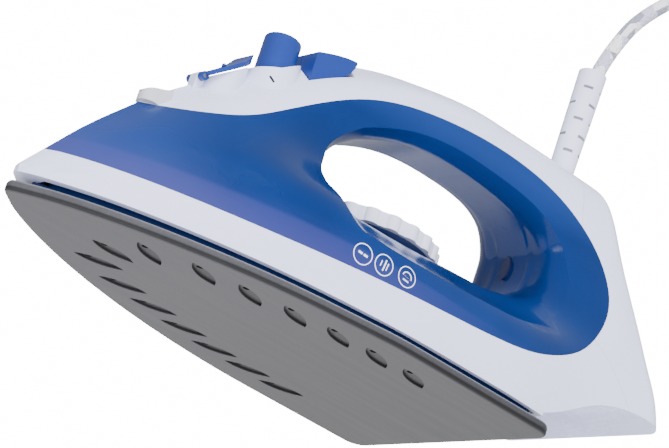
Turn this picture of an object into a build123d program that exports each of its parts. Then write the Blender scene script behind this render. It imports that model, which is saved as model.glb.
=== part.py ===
"""Steam iron with a see-through water tank, as an assembly of separate pieces.

Frame: the origin is the centre of the soleplate's working face. -X points to the nose,
+X to the heel, +Z up, and the iron's left side is -Y. All sizes are in millimetres.
"""

import math
import os

from build123d import *

os.makedirs("parts", exist_ok=True)

# ---------------------------------------------------------------- driving dimensions

# Soleplate
SOLE_LENGTH = 212.0
SOLE_WIDTH = 110.4
SOLE_EDGE = 4.6  # thickness of the casting at its rim
SOLE_TAPER = 155.0  # distance from the nose over which the sole widens
SOLE_CORNER = 7.0
LEAF_LENGTH = 18.6
LEAF_WIDTH = 6.4
LEAF_DEPTH = 0.8
LEAF_TURN = 27.0  # degrees, each leaf points rearward and inward
STEAM_HOLE_R = 1.25

# Outer form
WALL = 2.2
SEAM = 0.15  # gap between neighbouring mouldings
BAND_BOTTOM = 7.6  # underside of the white base band
BODY_LENGTH = 273.5  # nose to the heel's foot
HEEL_FOOT = 28.0  # height of the heel's foot above the sole
HEEL_LEAN = 16.5  # degrees, the heel leans forward at its top
HEEL_ROUND = 9.0
CROWN_R = 15.0  # rounding of the handle's top
OPENING_ROUND = 8.0  # softening of the finger opening's edges
OPENING_CORE = 8.0  # half the width over which the finger opening runs straight through

# Heater and steam chamber
CHAMBER_INSET = 10.2
CHAMBER_WALL = 2.0
CHAMBER_FRONT = 30.0
CHAMBER_REAR = 174.0
CHAMBER_TOP = 12.8
BAY_LENGTH = 46.0  # open bay behind the chamber for the thermostat
BAY_WIDTH = 34.0
COVER_SHEET = 1.2
ELEMENT_R = 3.4
ELEMENT_GROOVE = 0.1
ELEMENT_Z = 8.6
ELEMENT_END = 196.0
PIN_R = 1.0
PIN_END = 202.0
LEG_Y = 26.0
RAIL_WIDTH = 11.0
POST_R = 3.2
COVER_POSTS = [(33, 0), (112, 0), (166, 39), (166, -39)]
SOLE_POST_R = 4.5
SOLE_POSTS = [(21, 0), (197, 36), (197, -36)]
POST_TOP = 16.0

# Heat skirt and tank floor
SKIRT_INSET = 7.6
SKIRT_WALL = 2.0
SHELF_TOP = 18.2
SHELF = 2.0
SHELF_REAR = 206.0
FLOOR_LIFT = 1.4  # the tank floor lies this far above the tank's lower edge
FLOOR = 2.0
TANK_REAR = 205.0

# Steam controls, as distances back from the nose
VALVE_X = 84.7
KNOB_R = 7.0
KNOB_BOTTOM = 86.8
KNOB_TOP = 103.8
STEM_R = 3.0
STEM_BOTTOM = 78.0
ROD_R = 2.0
ROD_TOP = 94.0
SEAT_TOP = 25.0
BUTTON_FRONT = 94.6
BUTTON_REAR = 112.8
BUTTON_HEEL = 107.5  # rear of the part of a button that runs in the well
BUTTON_BOTTOM = 92.8
BUTTON_SIDE = 9.0
BUTTON_TRAVEL = 4.0
BUTTON_SKIRT = 90.2  # lower edge of a button's outer wall
PUMP_X = 101.5
PUMP_Y = 4.6
PUMP_R = 3.0
PUMP_BOTTOM = 68.0
PUMP_TOP = 88.5
PLUNGER_R = 1.9
PLUNGER_TOP = 101.0
HOSE_R = 1.2
NOZZLE_X = 40.3
NOZZLE_R = 4.5
NOZZLE_REAR = 46.0
JET_Z = 56.6
HOSE_END = (43.8, 57.6)
BURST_X = 91.5
BURST_Y = 10.0
BURST_R = 1.5
FILL_X = 64.5
FILL_R = 5.0
HINGE_X = 55.6
HINGE_Z = 72.6
HINGE_PIN_R = 0.8
LID_X = 63.8  # middle of the fill door
HINGE_LUG = 4.0  # width of the lug in the middle of the door's hinge

# Temperature control
DIAL_X = 146.0
DIAL_R = 28.3
DIAL_Z = 50.0
DIAL_HEIGHT = 5.5
DIAL_LOBES = 20
SHAFT_R = 2.0

# Cord and its entry
CORD_R = 3.0
RELIEF_X = 227.0
RELIEF_LENGTH = 45.0
RELIEF_FOOT = 122.0  # where the relief leaves the body
RELIEF_LEAN = 2.5  # degrees
CLAMP_Z = 103.0
BLOCK_X = 235.0
BLOCK_Z = 40.0
BLOCK_HEIGHT = 12.0
COIL_X = 296.0
COIL_R = 34.0  # to the middle of the turns
PLUG_R = 18.5

# Clearances
RUN = 0.05  # radial, shaft in a bore
SEAT = 0.2  # between pieces of one body
FREE = 0.4  # round a moving piece


def at(distance):
    """X of a place that many millimetres back from the sole's nose."""
    return distance - SOLE_LENGTH / 2


# ---------------------------------------------------------------- outer form

# Height of the top line, half-widths and nose reach, each against a distance or a height.
TOP_LINE = [(0.5, 9.8), (9, 20.8), (20, 34.8), (35.4, 51.6), (45, 61.2), (55, 69.6), (66, 78.2),
            (78, 87), (90, 95.5), (102, 102.8), (116, 109.6), (130, 114.6), (150, 119),
            (175, 121.8), (205, 122.2), (232, 121.8), (252, 121.2), (275, 119.5)]
WAIST = [(5, 51.8), (24, 51.5), (34, 48.5), (42, 41.5), (50, 31.5), (58, 24), (66, 19.5),
         (78, 17.2), (92, 16.6), (125, 16.3)]
REAR_WAIST = [(5, 47.5), (35, 46), (50, 41), (70, 33), (91, 24.5), (110, 18.5), (125, 17)]
NOSE_REACH = [(9, 153), (24, 140), (40, 95), (55, 52), (70, 34), (125, 30)]
WAIST_BLEND = (185.0, 245.0)  # the middle waist turns into the rear one between these
FORM_BOTTOM = 5.0
# Every cross-section has its points at the same shares of its height and of its curve.
SECTION_HEIGHTS = (0, 0.14, 0.28, 0.4, 0.5, 0.6, 0.7, 0.79, 0.87, 0.93, 0.97, 1)
SECTION_KNOTS = (0, 0.12, 0.245, 0.37, 0.47, 0.57, 0.66, 0.75, 0.83, 0.89, 0.94, 1)


def smooth_table(value, table):
    """Value of a smooth curve through the table's points, level with its ends outside."""
    if value <= table[0][0]:
        return table[0][1]
    if value >= table[-1][0]:
        return table[-1][1]
    slopes = [(b[1] - a[1]) / (b[0] - a[0]) for a, b in zip(table, table[1:])]
    tangents = [slopes[0]]
    for before, after in zip(slopes, slopes[1:]):
        tangents.append(2 * before * after / (before + after) if before * after > 0 else 0)
    tangents.append(slopes[-1])
    i = max(k for k in range(len(table) - 1) if table[k][0] <= value)
    span = table[i + 1][0] - table[i][0]
    t = (value - table[i][0]) / span
    return ((2 * t**3 - 3 * t**2 + 1) * table[i][1]
            + (t**3 - 2 * t**2 + t) * span * tangents[i]
            + (3 * t**2 - 2 * t**3) * table[i + 1][1]
            + (t**3 - t**2) * span * tangents[i + 1])


def top_line(distance):
    """Height of the iron's top line at a distance back from the nose."""
    return smooth_table(distance, TOP_LINE)


def nose_line(height):
    """Distance back from the nose at which the top line reaches a height."""
    low, high = TOP_LINE[0][0], 250.0
    if height <= TOP_LINE[0][1]:
        return low
    for _ in range(40):
        middle = (low + high) / 2
        low, high = (middle, high) if top_line(middle) < height else (low, middle)
    return low


def bow(share):
    """Share of the full half-width at a share of the bow's length, as a boat's bow in plan."""
    share = max(0.0, min(1.0, share))
    return (1 - (1 - share) ** 1.95) ** 0.769


def half_width(distance, height, inset=0.0):
    """Half-width of the outer form, drawn in by an inset, at a distance and a height."""
    blend = max(0.0, min(1.0, (distance - WAIST_BLEND[0]) / (WAIST_BLEND[1] - WAIST_BLEND[0])))
    blend = blend * blend * (3 - 2 * blend)
    full = (1 - blend) * smooth_table(height, WAIST) + blend * smooth_table(height, REAR_WAIST)
    if distance < WAIST_BLEND[0]:
        full *= bow((distance - nose_line(height) - 1.4 * inset)
                    / smooth_table(height, NOSE_REACH))
    top = top_line(distance) - inset
    crown = min(CROWN_R, 0.32 * (top - 8))
    rise = max(0.0, (height - (top - crown)) / crown)
    return max(0.0, full - inset) * math.sqrt(max(0.0, 1 - rise * rise))


def section(distance, lean, inset):
    """Cross-section face of the form on a plane leaning forward by lean degrees."""
    slope = math.tan(math.radians(lean))
    low, high = FORM_BOTTOM, 200.0
    for _ in range(40):
        middle = (low + high) / 2
        inside = half_width(distance - (middle - HEEL_FOOT) * slope, middle, inset) > 0.02
        low, high = (middle, high) if inside else (low, middle)
    side = []
    for share in SECTION_HEIGHTS:
        height = FORM_BOTTOM + (low - FORM_BOTTOM) * share
        reach = half_width(distance - (height - HEEL_FOOT) * slope, height, inset)
        along = (height - HEEL_FOOT) / math.cos(math.radians(lean))
        side.append((reach if share < 1 else 0.0, along))
    turn = math.radians(lean)
    plane = Plane(origin=(at(distance), 0, HEEL_FOOT), x_dir=(0, 1, 0),
                  z_dir=(math.cos(turn), 0, math.sin(turn)))
    left = [(-y, z) for y, z in side]
    outline = [Edge.make_spline(side, parameters=SECTION_KNOTS),
               Edge.make_spline(left, parameters=SECTION_KNOTS),
               Edge.make_line(left[0], side[0])]
    return plane * Face(Wire(outline))


def body_form(inset):
    """Solid of the whole outer form, drawn in by an inset."""
    first = 1.2 + 4 * inset
    stations = [(first, 0)]
    stations += [(x, 0) for x in (4, 10, 19, 32, 46, 62, 80, 100, 122, 146, 170) if x > first + 2]
    stations += [(192, 3.5), (214, 8), (235, 12.5), (249, 14.8)]
    faces = [section(x, lean, inset) for x, lean in stations]
    heel = []
    for share in (1.0, 0.62, 0.29, 0.076, 0.0):
        drawn = HEEL_ROUND * (1 - math.sqrt(1 - (1 - share) ** 2))
        heel.append(section(BODY_LENGTH - inset - HEEL_ROUND * share, HEEL_LEAN, inset + drawn))
    with BuildPart() as form:
        loft(sections=faces + heel[:1])
        loft(sections=heel)
    return form.part


# Finger opening in side view: runs of its edge as distance and height, each from where the
# last one ends, and the way that the edge goes where they meet.
OPENING = (
    [(105.6, 60), (107.4, 66), (111.5, 72), (118, 78), (127, 83.6)],
    [(127, 83.6), (141, 89.3), (157, 92.7), (174, 93.6)],
    [(174, 93.6), (191, 92.9), (202, 91), (209.5, 87.5), (214.4, 82), (216.6, 74)],
    [(216.6, 74), (215.8, 66.5), (212.3, 60.2), (205.5, 55.6), (193, 52.2)],
    [(193, 52.2), (170, 48.2), (148, 45.4), (128, 43.6), (119, 43.2)],
    [(119, 43.2), (111.5, 44.8), (107.2, 50), (105.6, 60)],
)
OPENING_ENDS = ((0, 1), (0.9, 0.436), (1, 0), (0, -1), (-0.979, -0.204), (-1, 0), (0, 1))


def opening_run(points, ends, side, grow):
    """One run of the opening's edge on the plane Y = side, moved outwards by grow.

    Where the plane leaves the body's side the run flares, which softens the opening's edge.
    """
    directions = [ends[0]]
    for before, after in zip(points, points[2:]):
        directions.append((after[0] - before[0], after[1] - before[1]))
    directions.append(ends[1])
    run = []
    for (x, z), (ahead, rise) in zip(points, directions):
        depth = abs(side) - (half_width(x, z) - OPENING_ROUND)
        share = max(0.0, depth / OPENING_ROUND)
        flare = 0.55 * OPENING_ROUND * share**2 / (1 + (share / 2.2) ** 2)
        out = (grow + flare) / math.hypot(ahead, rise)
        run.append((at(x) - out * rise, z + out * ahead))
    return run


def opening_outline(side, grow):
    """Closed outline of the opening on the plane Y = side, grown outwards by grow."""
    runs = []
    for points, ends in zip(OPENING, zip(OPENING_ENDS, OPENING_ENDS[1:])):
        knots = [0.0]
        for (x, z), (next_x, next_z) in zip(points, points[1:]):
            knots.append(knots[-1] + math.hypot(next_x - x, next_z - z))
        runs.append(Edge.make_spline(opening_run(points, ends, side, grow), tangents=ends,
                                     parameters=[knot / knots[-1] for knot in knots]))
    return Plane.XZ.offset(-side) * Face(Wire(runs))


def opening_form(grow):
    """Solid that the finger opening takes out of the body, flared at both its mouths."""
    with BuildPart() as tool:
        add(extrude(opening_outline(0, grow), amount=OPENING_CORE, both=True))
        for way in (1, -1):
            loft(sections=[opening_outline(way * (OPENING_CORE + 4 * i), grow)
                           for i in range(14)])
    return tool.part


def side_prism(points, reach=80.0):
    """Prism across the iron with a polygon, in distance and height, as its side view."""
    with BuildPart() as prism:
        with BuildSketch(Plane.XZ):
            with BuildLine():
                Polyline(*[(at(x), z) for x, z in points], close=True)
            make_face()
        extrude(amount=reach, both=True)
    return prism.part


# Edge of the blue moulding in side view: under the tank, round the rear, over the grip.
BLUE_EDGE = [(-8, 19.9), (30, 19.6), (70, 19.2), (116, 20.5), (150, 22.2), (177, 24.2),
             (195, 27), (209, 32), (222, 39.6), (232, 49.6), (238, 60), (240.2, 70),
             (238.8, 80), (233, 90.5), (222, 99.3), (207, 104.8), (188, 107), (166, 106),
             (146, 103), (128, 98.2), (112, 91.2), (98, 82.3), (84, 72), (70, 62.4),
             (57, 56.6), (45, 53.5), (30, 53)]


def blue_prism(grow):
    """Prism across the iron that holds everything of the blue moulding, grown outwards."""
    edge = []
    for i, (x, z) in enumerate(BLUE_EDGE):
        before, after = BLUE_EDGE[max(i - 1, 0)], BLUE_EDGE[min(i + 1, len(BLUE_EDGE) - 1)]
        run, rise = after[0] - before[0], after[1] - before[1]
        length = math.hypot(run, rise)
        edge.append((at(x) + grow * rise / length, z - grow * run / length))
    with BuildPart() as prism:
        with BuildSketch(Plane.XZ):
            with BuildLine():
                rim = Spline(*edge)
                Polyline(rim @ 1, (at(-8), edge[-1][1]), rim @ 0)
            make_face()
        extrude(amount=80, both=True)
    return prism.part


# Underside of the overhanging heel, in side view.
UNDERSIDE = [(208.5, 9), (222, 16), (236, 24), (252, 28.6), (276, HEEL_FOOT)]


def below_underside(lift, band):
    """Prism of what lies below the heel's underside raised by lift, and below band forward."""
    with BuildPart() as prism:
        with BuildSketch(Plane.XZ):
            with BuildLine():
                curve = Spline(*[(at(x - lift), z + lift) for x, z in UNDERSIDE])
                Polyline(curve @ 1, (at(290), HEEL_FOOT + lift), (at(290), -8), (at(-10), -8),
                         (at(-10), band), (at(UNDERSIDE[0][0] - lift), band), curve @ 0)
            make_face()
        extrude(amount=80, both=True)
    return prism.part


form = body_form(0)
core = body_form(WALL)
seated = body_form(WALL + SEAT)
opening = opening_form(0)
opening_wall = opening_form(WALL)
blue = blue_prism(0)
blue_grown = blue_prism(SEAM)
heel_floor = below_underside(0, BAND_BOTTOM)
heel_void_floor = below_underside(WALL, -5)


def export(piece, name):
    """Label a finished piece and write its STEP file under its own name."""
    piece.part.label = name
    export_step(piece.part, f"parts/{name}.step")
    print(name, len(piece.part.solids()), round(piece.part.volume), piece.part.is_valid)


def rod(distance, side, radius, low, high):
    """Upright cylinder at a distance and side, between two heights."""
    return Pos(at(distance), side, (low + high) / 2) * Cylinder(radius, high - low, mode=Mode.PRIVATE)


def block(x_low, x_high, y_low, y_high, z_low, z_high):
    """Box between two distances, two sides and two heights."""
    middle = Pos(at((x_low + x_high) / 2), (y_low + y_high) / 2, (z_low + z_high) / 2)
    return middle * Box(x_high - x_low, y_high - y_low, z_high - z_low, mode=Mode.PRIVATE)


def lying_rod(x_low, x_high, side, height, radius):
    """Cylinder along X between two distances."""
    middle = Pos(at((x_low + x_high) / 2), side, height)
    return middle * Rot(0, 90, 0) * Cylinder(radius, x_high - x_low, mode=Mode.PRIVATE)


def hinge_rod(radius, length):
    """Cylinder across the iron on the fill door's hinge line."""
    middle = Pos(at(HINGE_X), 0, HINGE_Z)
    return middle * Rot(90, 0, 0) * Cylinder(radius, length, mode=Mode.PRIVATE)


def wire(points, radius, bend=3.0):
    """Round solid along straight runs and bends, from points as distance, side and height."""
    with BuildPart() as solid:
        with BuildLine() as route:
            FilletPolyline(*[(at(x), y, z) for x, y, z in points], radius=bend)
        with BuildSketch(Plane(origin=route.line @ 0, z_dir=route.line % 0)):
            Circle(radius)
        sweep()
    return solid.part


def helix_spring(distance, side, mean, gauge, low, high, turns):
    """Coil spring round an upright axis, between two heights."""
    with BuildPart() as spring:
        with BuildLine() as route:
            Helix(pitch=(high - low - 2 * gauge) / turns, height=high - low - 2 * gauge,
                  radius=mean, center=(at(distance), side, low + gauge))
        with BuildSketch(Plane(origin=route.line @ 0, z_dir=route.line % 0)):
            Circle(gauge)
        sweep(is_frenet=True)
    return spring.part


# ---------------------------------------------------------------- soleplate and heater

def sole_half(distance, inset):
    """Half-width of the sole, drawn in by an inset, at a distance back from its nose."""
    def full(place):
        return SOLE_WIDTH / 2 * bow(place / SOLE_TAPER)
    slope = full(distance + 0.5) - full(distance - 0.5)
    return full(distance) - inset * math.sqrt(1 + slope * slope)


def sole_outline(inset):
    """Sketch of the sole's outline drawn in by an inset."""
    low, high = 0.0, SOLE_TAPER
    for _ in range(40):
        middle = (low + high) / 2
        low, high = (middle, high) if sole_half(middle, inset) < 0 else (low, middle)
    side = []
    for share in (1, 0.8, 0.6, 0.4, 0.24, 0.13, 0.06, 0.02):
        distance = low + (SOLE_TAPER - low) * share
        side.append((at(distance), sole_half(distance, inset)))
    bow_line = side + [(at(low), 0)] + [(x, -y) for x, y in reversed(side)]
    corner = max(1.0, SOLE_CORNER - inset)
    rear, half = at(SOLE_LENGTH - inset), SOLE_WIDTH / 2 - inset
    with BuildSketch() as outline:
        with BuildLine():
            Spline(*bow_line, tangents=[(-1, 0), (1, 0)])
            for way in (1, -1):
                Line(side[0] if way > 0 else bow_line[-1], (rear - corner, way * half))
                RadiusArc((rear - corner, way * half), (rear, way * (half - corner)),
                          way * corner)
            Line((rear, half - corner), (rear, corner - half))
        make_face()
    return outline.sketch


def chamber_outline(inward):
    """Sketch of the steam chamber's wall outline, drawn in by some millimetres."""
    with BuildSketch() as outline:
        add(sole_outline(CHAMBER_INSET + inward))
        with Locations((at((CHAMBER_FRONT + CHAMBER_REAR) / 2), 0)):
            Rectangle(CHAMBER_REAR - CHAMBER_FRONT - 2 * inward, SOLE_WIDTH,
                      mode=Mode.INTERSECT)
        with Locations((at(CHAMBER_REAR), 0)):
            Rectangle(2 * (BAY_LENGTH + inward), BAY_WIDTH + 2 * inward, mode=Mode.SUBTRACT)
    return outline.sketch


def element_route(end):
    """Centre line of the heating element, a hairpin from one rear end to the other."""
    points = [(at(end), LEG_Y), (at(135), LEG_Y), (at(60), 12), (at(60), -12),
              (at(135), -LEG_Y), (at(end), -LEG_Y)]
    with BuildLine(Plane.XY.offset(ELEMENT_Z)) as route:
        FilletPolyline(*points, radius=9)
    return route.line


# Leaf-shaped steam dimples: pairs in two rows that follow the sole's edge, one at the nose.
LEAF_PITCH = 17.6
LEAF_SIDES = (15.1, 23.9, 28.3, 32.4, 35.7, 36.9, 37.6)
leaves = [(46.7, 0.0, 0.0)]
for i, leaf_side in enumerate(LEAF_SIDES):
    leaves.append((51.5 + LEAF_PITCH * i, leaf_side, -LEAF_TURN))
    leaves.append((51.5 + LEAF_PITCH * i, -leaf_side, LEAF_TURN))

with BuildPart() as soleplate:
    with BuildSketch():
        add(sole_outline(0))
    extrude(amount=SOLE_EDGE)
    fillet(soleplate.edges().filter_by_position(Axis.Z, -0.01, 0.01), radius=1.2)
    fillet(soleplate.edges().filter_by_position(Axis.Z, SOLE_EDGE - 0.01, SOLE_EDGE + 0.01),
           radius=2.0)
    with BuildSketch(Plane.XY.offset(SOLE_EDGE - 0.01)):
        add(chamber_outline(0))
        add(chamber_outline(CHAMBER_WALL), mode=Mode.SUBTRACT)
    extrude(amount=CHAMBER_TOP - SOLE_EDGE + 0.01)
    with BuildSketch(Plane.XY.offset(SOLE_EDGE - 0.01)):
        trace(element_route(190), line_width=RAIL_WIDTH)
    extrude(amount=ELEMENT_Z - SOLE_EDGE + 0.01)
    for x, y in COVER_POSTS:
        add(rod(x, y, POST_R, SOLE_EDGE - 0.01, CHAMBER_TOP))
        add(rod(x, y, 1.2, SOLE_EDGE, CHAMBER_TOP), mode=Mode.SUBTRACT)
    for x, y in SOLE_POSTS:
        add(rod(x, y, SOLE_POST_R, SOLE_EDGE - 0.01, POST_TOP))
        add(rod(x, y, 1.95, SOLE_EDGE, POST_TOP), mode=Mode.SUBTRACT)
    with BuildSketch(Plane.XY.offset(ELEMENT_Z)):
        trace(element_route(192), line_width=2 * (ELEMENT_R + ELEMENT_GROOVE))
    extrude(amount=CHAMBER_TOP - ELEMENT_Z, mode=Mode.SUBTRACT)
    groove_line = element_route(192)
    with BuildSketch(Plane(origin=groove_line @ 0, z_dir=groove_line % 0)):
        Circle(ELEMENT_R + ELEMENT_GROOVE)
    sweep(path=groove_line, mode=Mode.SUBTRACT)
    for x, y, turn in leaves:
        with BuildSketch(Plane(origin=(at(x), y, 0)).rotated((0, 0, turn))):
            with BuildLine():
                ThreePointArc((-LEAF_LENGTH / 2, 0), (0, LEAF_WIDTH / 2), (LEAF_LENGTH / 2, 0))
                ThreePointArc((-LEAF_LENGTH / 2, 0), (0, -LEAF_WIDTH / 2), (LEAF_LENGTH / 2, 0))
            make_face()
        extrude(amount=LEAF_DEPTH, mode=Mode.SUBTRACT)
        lead_x = x - 4 * math.cos(math.radians(turn))
        lead_y = y - 4 * math.sin(math.radians(turn))
        add(rod(lead_x, lead_y, STEAM_HOLE_R, -1, SOLE_EDGE + 0.5), mode=Mode.SUBTRACT)
export(soleplate, "soleplate")

element_line = element_route(ELEMENT_END)
with BuildPart() as heating_element:
    with BuildSketch(Plane(origin=element_line @ 0, z_dir=element_line % 0)):
        Circle(ELEMENT_R)
    sweep(path=element_line)
    for y in (LEG_Y, -LEG_Y):
        add(lying_rod(ELEMENT_END - 1, PIN_END, y, ELEMENT_Z, PIN_R))
export(heating_element, "heating_element")

with BuildPart() as chamber_cover:
    with BuildSketch(Plane.XY.offset(CHAMBER_TOP)):
        add(chamber_outline(0))
        with Locations(*[(at(x), y) for x, y in COVER_POSTS]):
            Circle(1.7, mode=Mode.SUBTRACT)
        with Locations((at(VALVE_X), 0)):
            Circle(3.5 + SEAT, mode=Mode.SUBTRACT)
        with Locations((at(BURST_X), BURST_Y)):
            Circle(BURST_R + SEAT, mode=Mode.SUBTRACT)
    extrude(amount=COVER_SHEET)
export(chamber_cover, "steam_chamber_cover")


def screw(distance, side, seat, head_r, head, shank_r, length):
    """Pan-head screw standing upright with the underside of its head at a height."""
    shank = rod(distance, side, shank_r, seat - length, seat + 0.5)
    top = rod(distance, side, head_r, seat, seat + head)
    slot = block(distance - head_r, distance + head_r, side - 0.4, side + 0.4,
                 seat + head - 0.7, seat + head + 1)
    return shank + top - slot


with BuildPart() as cover_screws:
    for x, y in COVER_POSTS:
        add(screw(x, y, CHAMBER_TOP + COVER_SHEET, 2.6, 1.6, 1.15, 7))
export(cover_screws, "cover_screws")

with BuildPart() as sole_screws:
    for x, y in SOLE_POSTS:
        add(screw(x, y, SHELF_TOP, 3.2, 1.8, 1.9, 12))
export(sole_screws, "sole_screws")

with BuildPart() as thermostat:
    add(rod(DIAL_X, 0, 9, SOLE_EDGE, 14))
    add(rod(DIAL_X, 0, 6, 14, 18))
    add(rod(DIAL_X, 0, 3.6, 18, 19.5))
    add(block(DIAL_X + 8, DIAL_X + 15, -3, 3, 9, 10.5))
    add(rod(DIAL_X, 0, SHAFT_R + RUN, 10, 20), mode=Mode.SUBTRACT)
export(thermostat, "thermostat")

with BuildPart() as thermal_fuse:
    add(block(182.5, 189.5, -7, 7, SOLE_EDGE, SOLE_EDGE + 6))
    fillet(thermal_fuse.edges().filter_by(Axis.Y), radius=1.5)
    add(block(185, 187, -10, 10, 7, 8.2))
export(thermal_fuse, "thermal_fuse")

# ---------------------------------------------------------------- skirt and tank floor

shelf_box = block(-10, SHELF_REAR, -80, 80, SHELF_TOP - SHELF, SHELF_TOP)
with BuildPart() as heat_skirt:
    with BuildSketch(Plane.XY.offset(SOLE_EDGE + SEAT)):
        add(sole_outline(SKIRT_INSET))
        add(sole_outline(SKIRT_INSET + SKIRT_WALL), mode=Mode.SUBTRACT)
        with Locations((at(SHELF_REAR + 20), 0)):
            Rectangle(40, 2 * SOLE_WIDTH, mode=Mode.SUBTRACT)
    extrude(amount=SHELF_TOP - SHELF - SOLE_EDGE - SEAT + 0.01)
    add(seated & shelf_box)
    add(block(-5, 14, -20, 20, BAND_BOTTOM - SEAT, 30), mode=Mode.SUBTRACT)
    add(rod(VALVE_X, 0, 6, 16, 19), mode=Mode.SUBTRACT)
    add(rod(DIAL_X, 0, 6.5, 16, 19), mode=Mode.SUBTRACT)
    add(rod(BURST_X, BURST_Y, BURST_R + FREE, 16, 19), mode=Mode.SUBTRACT)
    for x, y in SOLE_POSTS:
        add(rod(x, y, 2.0, 16, 19), mode=Mode.SUBTRACT)
    for y in (LEG_Y, -LEG_Y):
        add(rod(201, y, 3.6, 16, 19), mode=Mode.SUBTRACT)
export(heat_skirt, "heat_skirt")


def floor_prism(low, high):
    """Prism across the iron between two lifts above the blue moulding's lower edge."""
    edge = [(x, z) for x, z in BLUE_EDGE if x < TANK_REAR + 10][:8]
    with BuildPart() as prism:
        with BuildSketch(Plane.XZ):
            with BuildLine():
                under = Spline(*[(at(x), z + low) for x, z in edge])
                over = Spline(*[(at(x), z + high) for x, z in edge])
                Line(under @ 0, over @ 0)
                Line(under @ 1, over @ 1)
            make_face()
        extrude(amount=80, both=True)
    return prism.part


ahead_of_divider = block(-20, TANK_REAR - SEAT, -80, 80, 0, 100)
with BuildPart() as tank_floor:
    add(seated)
    add(floor_prism(FLOOR_LIFT, FLOOR_LIFT + FLOOR), mode=Mode.INTERSECT)
    add(ahead_of_divider, mode=Mode.INTERSECT)
    add(rod(VALVE_X, 0, 3.5 + SEAT, 15, 40), mode=Mode.SUBTRACT)
    add(rod(DIAL_X, 0, 2.6, 15, 40), mode=Mode.SUBTRACT)
    add(rod(BURST_X, BURST_Y, BURST_R + SEAT, 15, 40), mode=Mode.SUBTRACT)
export(tank_floor, "tank_floor")

# ---------------------------------------------------------------- housings

relief_axis = Plane(origin=(at(RELIEF_X), 0, RELIEF_FOOT),
                    z_dir=(math.sin(math.radians(RELIEF_LEAN)), 0,
                           math.cos(math.radians(RELIEF_LEAN))))


def along_relief(radius, low, high):
    """Cylinder on the cord relief's axis between two distances from its foot."""
    return relief_axis * Pos(0, 0, (low + high) / 2) * Cylinder(radius, high - low, mode=Mode.PRIVATE)


# White base band and the lower half of the heel.
void = core - heel_void_floor
lower_region = side_prism([(-20, 0), (-20, 26), (150, 32), (215, 50), (231, 50), (261, 20),
                           (261, 0)])
heel_bosses = block(228, 240, -9, 9, 15, BLOCK_Z)
for y in (28, -28):
    heel_bosses += block(241, 248.5, y - 4, y + 4, 20, 42)
with BuildPart() as lower_housing:
    add(form)
    add(lower_region, mode=Mode.INTERSECT)
    add(heel_floor, mode=Mode.SUBTRACT)
    add(blue_grown, mode=Mode.SUBTRACT)
    add(void, mode=Mode.SUBTRACT)
    add(heel_bosses - heel_floor)
    for y in (28, -28):
        add(lying_rod(238, 250, y, 37, 1.6), mode=Mode.SUBTRACT)
export(lower_housing, "lower_housing")

# Blue see-through moulding: the tank, the front pillar, the grip's lower half, the rear pillar.
cavity = side_prism([(0, 0), (TANK_REAR, 0), (TANK_REAR, 58), (112, 58), (106.5, 74),
                     (103, 83.5), (98, 79.8), (91, 74.6), (84, 69.4), (77, 64.8), (70, 60),
                     (63, 56.8), (57, 54.2), (45, 51.2), (36, 50.6), (0, 50.6)])
channel = side_prism([(TANK_REAR + WALL, 0), (300, 0), (300, 160), (107, 160), (107, 89.5),
                      (113, 84.5), (122, 83), (TANK_REAR + WALL, 83)])
hollow = (core & cavity) - opening_wall
duct = (core & channel) - opening_wall
tank_bosses = rod(DIAL_X, 0, 4.4, 20.8, 44.5) + rod(VALVE_X, 0, 4, 66, 75)
for y in (PUMP_Y, -PUMP_Y):
    tank_bosses += rod(PUMP_X, y, PUMP_R + 1.2, 79, 85.4)
LENS_Z = 75.0
LENS_Y = 2.3
# The buttons sink into the cover and into the ridge of the tank under it.
button_well = block(BUTTON_FRONT - FREE, BUTTON_REAR + FREE, -BUTTON_SIDE - FREE,
                    BUTTON_SIDE + FREE, BUTTON_SKIRT - BUTTON_TRAVEL - FREE, 120)
with BuildPart() as water_tank:
    add(form)
    add(blue, mode=Mode.INTERSECT)
    add(opening, mode=Mode.SUBTRACT)
    add(hollow, mode=Mode.SUBTRACT)
    add(duct, mode=Mode.SUBTRACT)
    add(tank_bosses - floor_prism(-30, FLOOR_LIFT + FLOOR + SEAT))
    add(rod(DIAL_X, 0, 2.6, 15, 60), mode=Mode.SUBTRACT)
    add(rod(VALVE_X, 0, ROD_R + RUN, 60, 80), mode=Mode.SUBTRACT)
    for y in (PUMP_Y, -PUMP_Y):
        add(rod(PUMP_X, y, PUMP_R + SEAT, 70, 95), mode=Mode.SUBTRACT)
    add(button_well, mode=Mode.SUBTRACT)
    add(rod(BURST_X, BURST_Y, BURST_R + SEAT, 70, 90), mode=Mode.SUBTRACT)
    add(rod(FILL_X, 0, FILL_R + 1 + SEAT, 52, 70), mode=Mode.SUBTRACT)
    with BuildSketch(Plane.YZ.offset(at(212))):
        with Locations((LENS_Y, LENS_Z)):
            Ellipse(2.5, 5)
    extrude(amount=12, mode=Mode.SUBTRACT)
export(water_tank, "water_tank")

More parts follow.
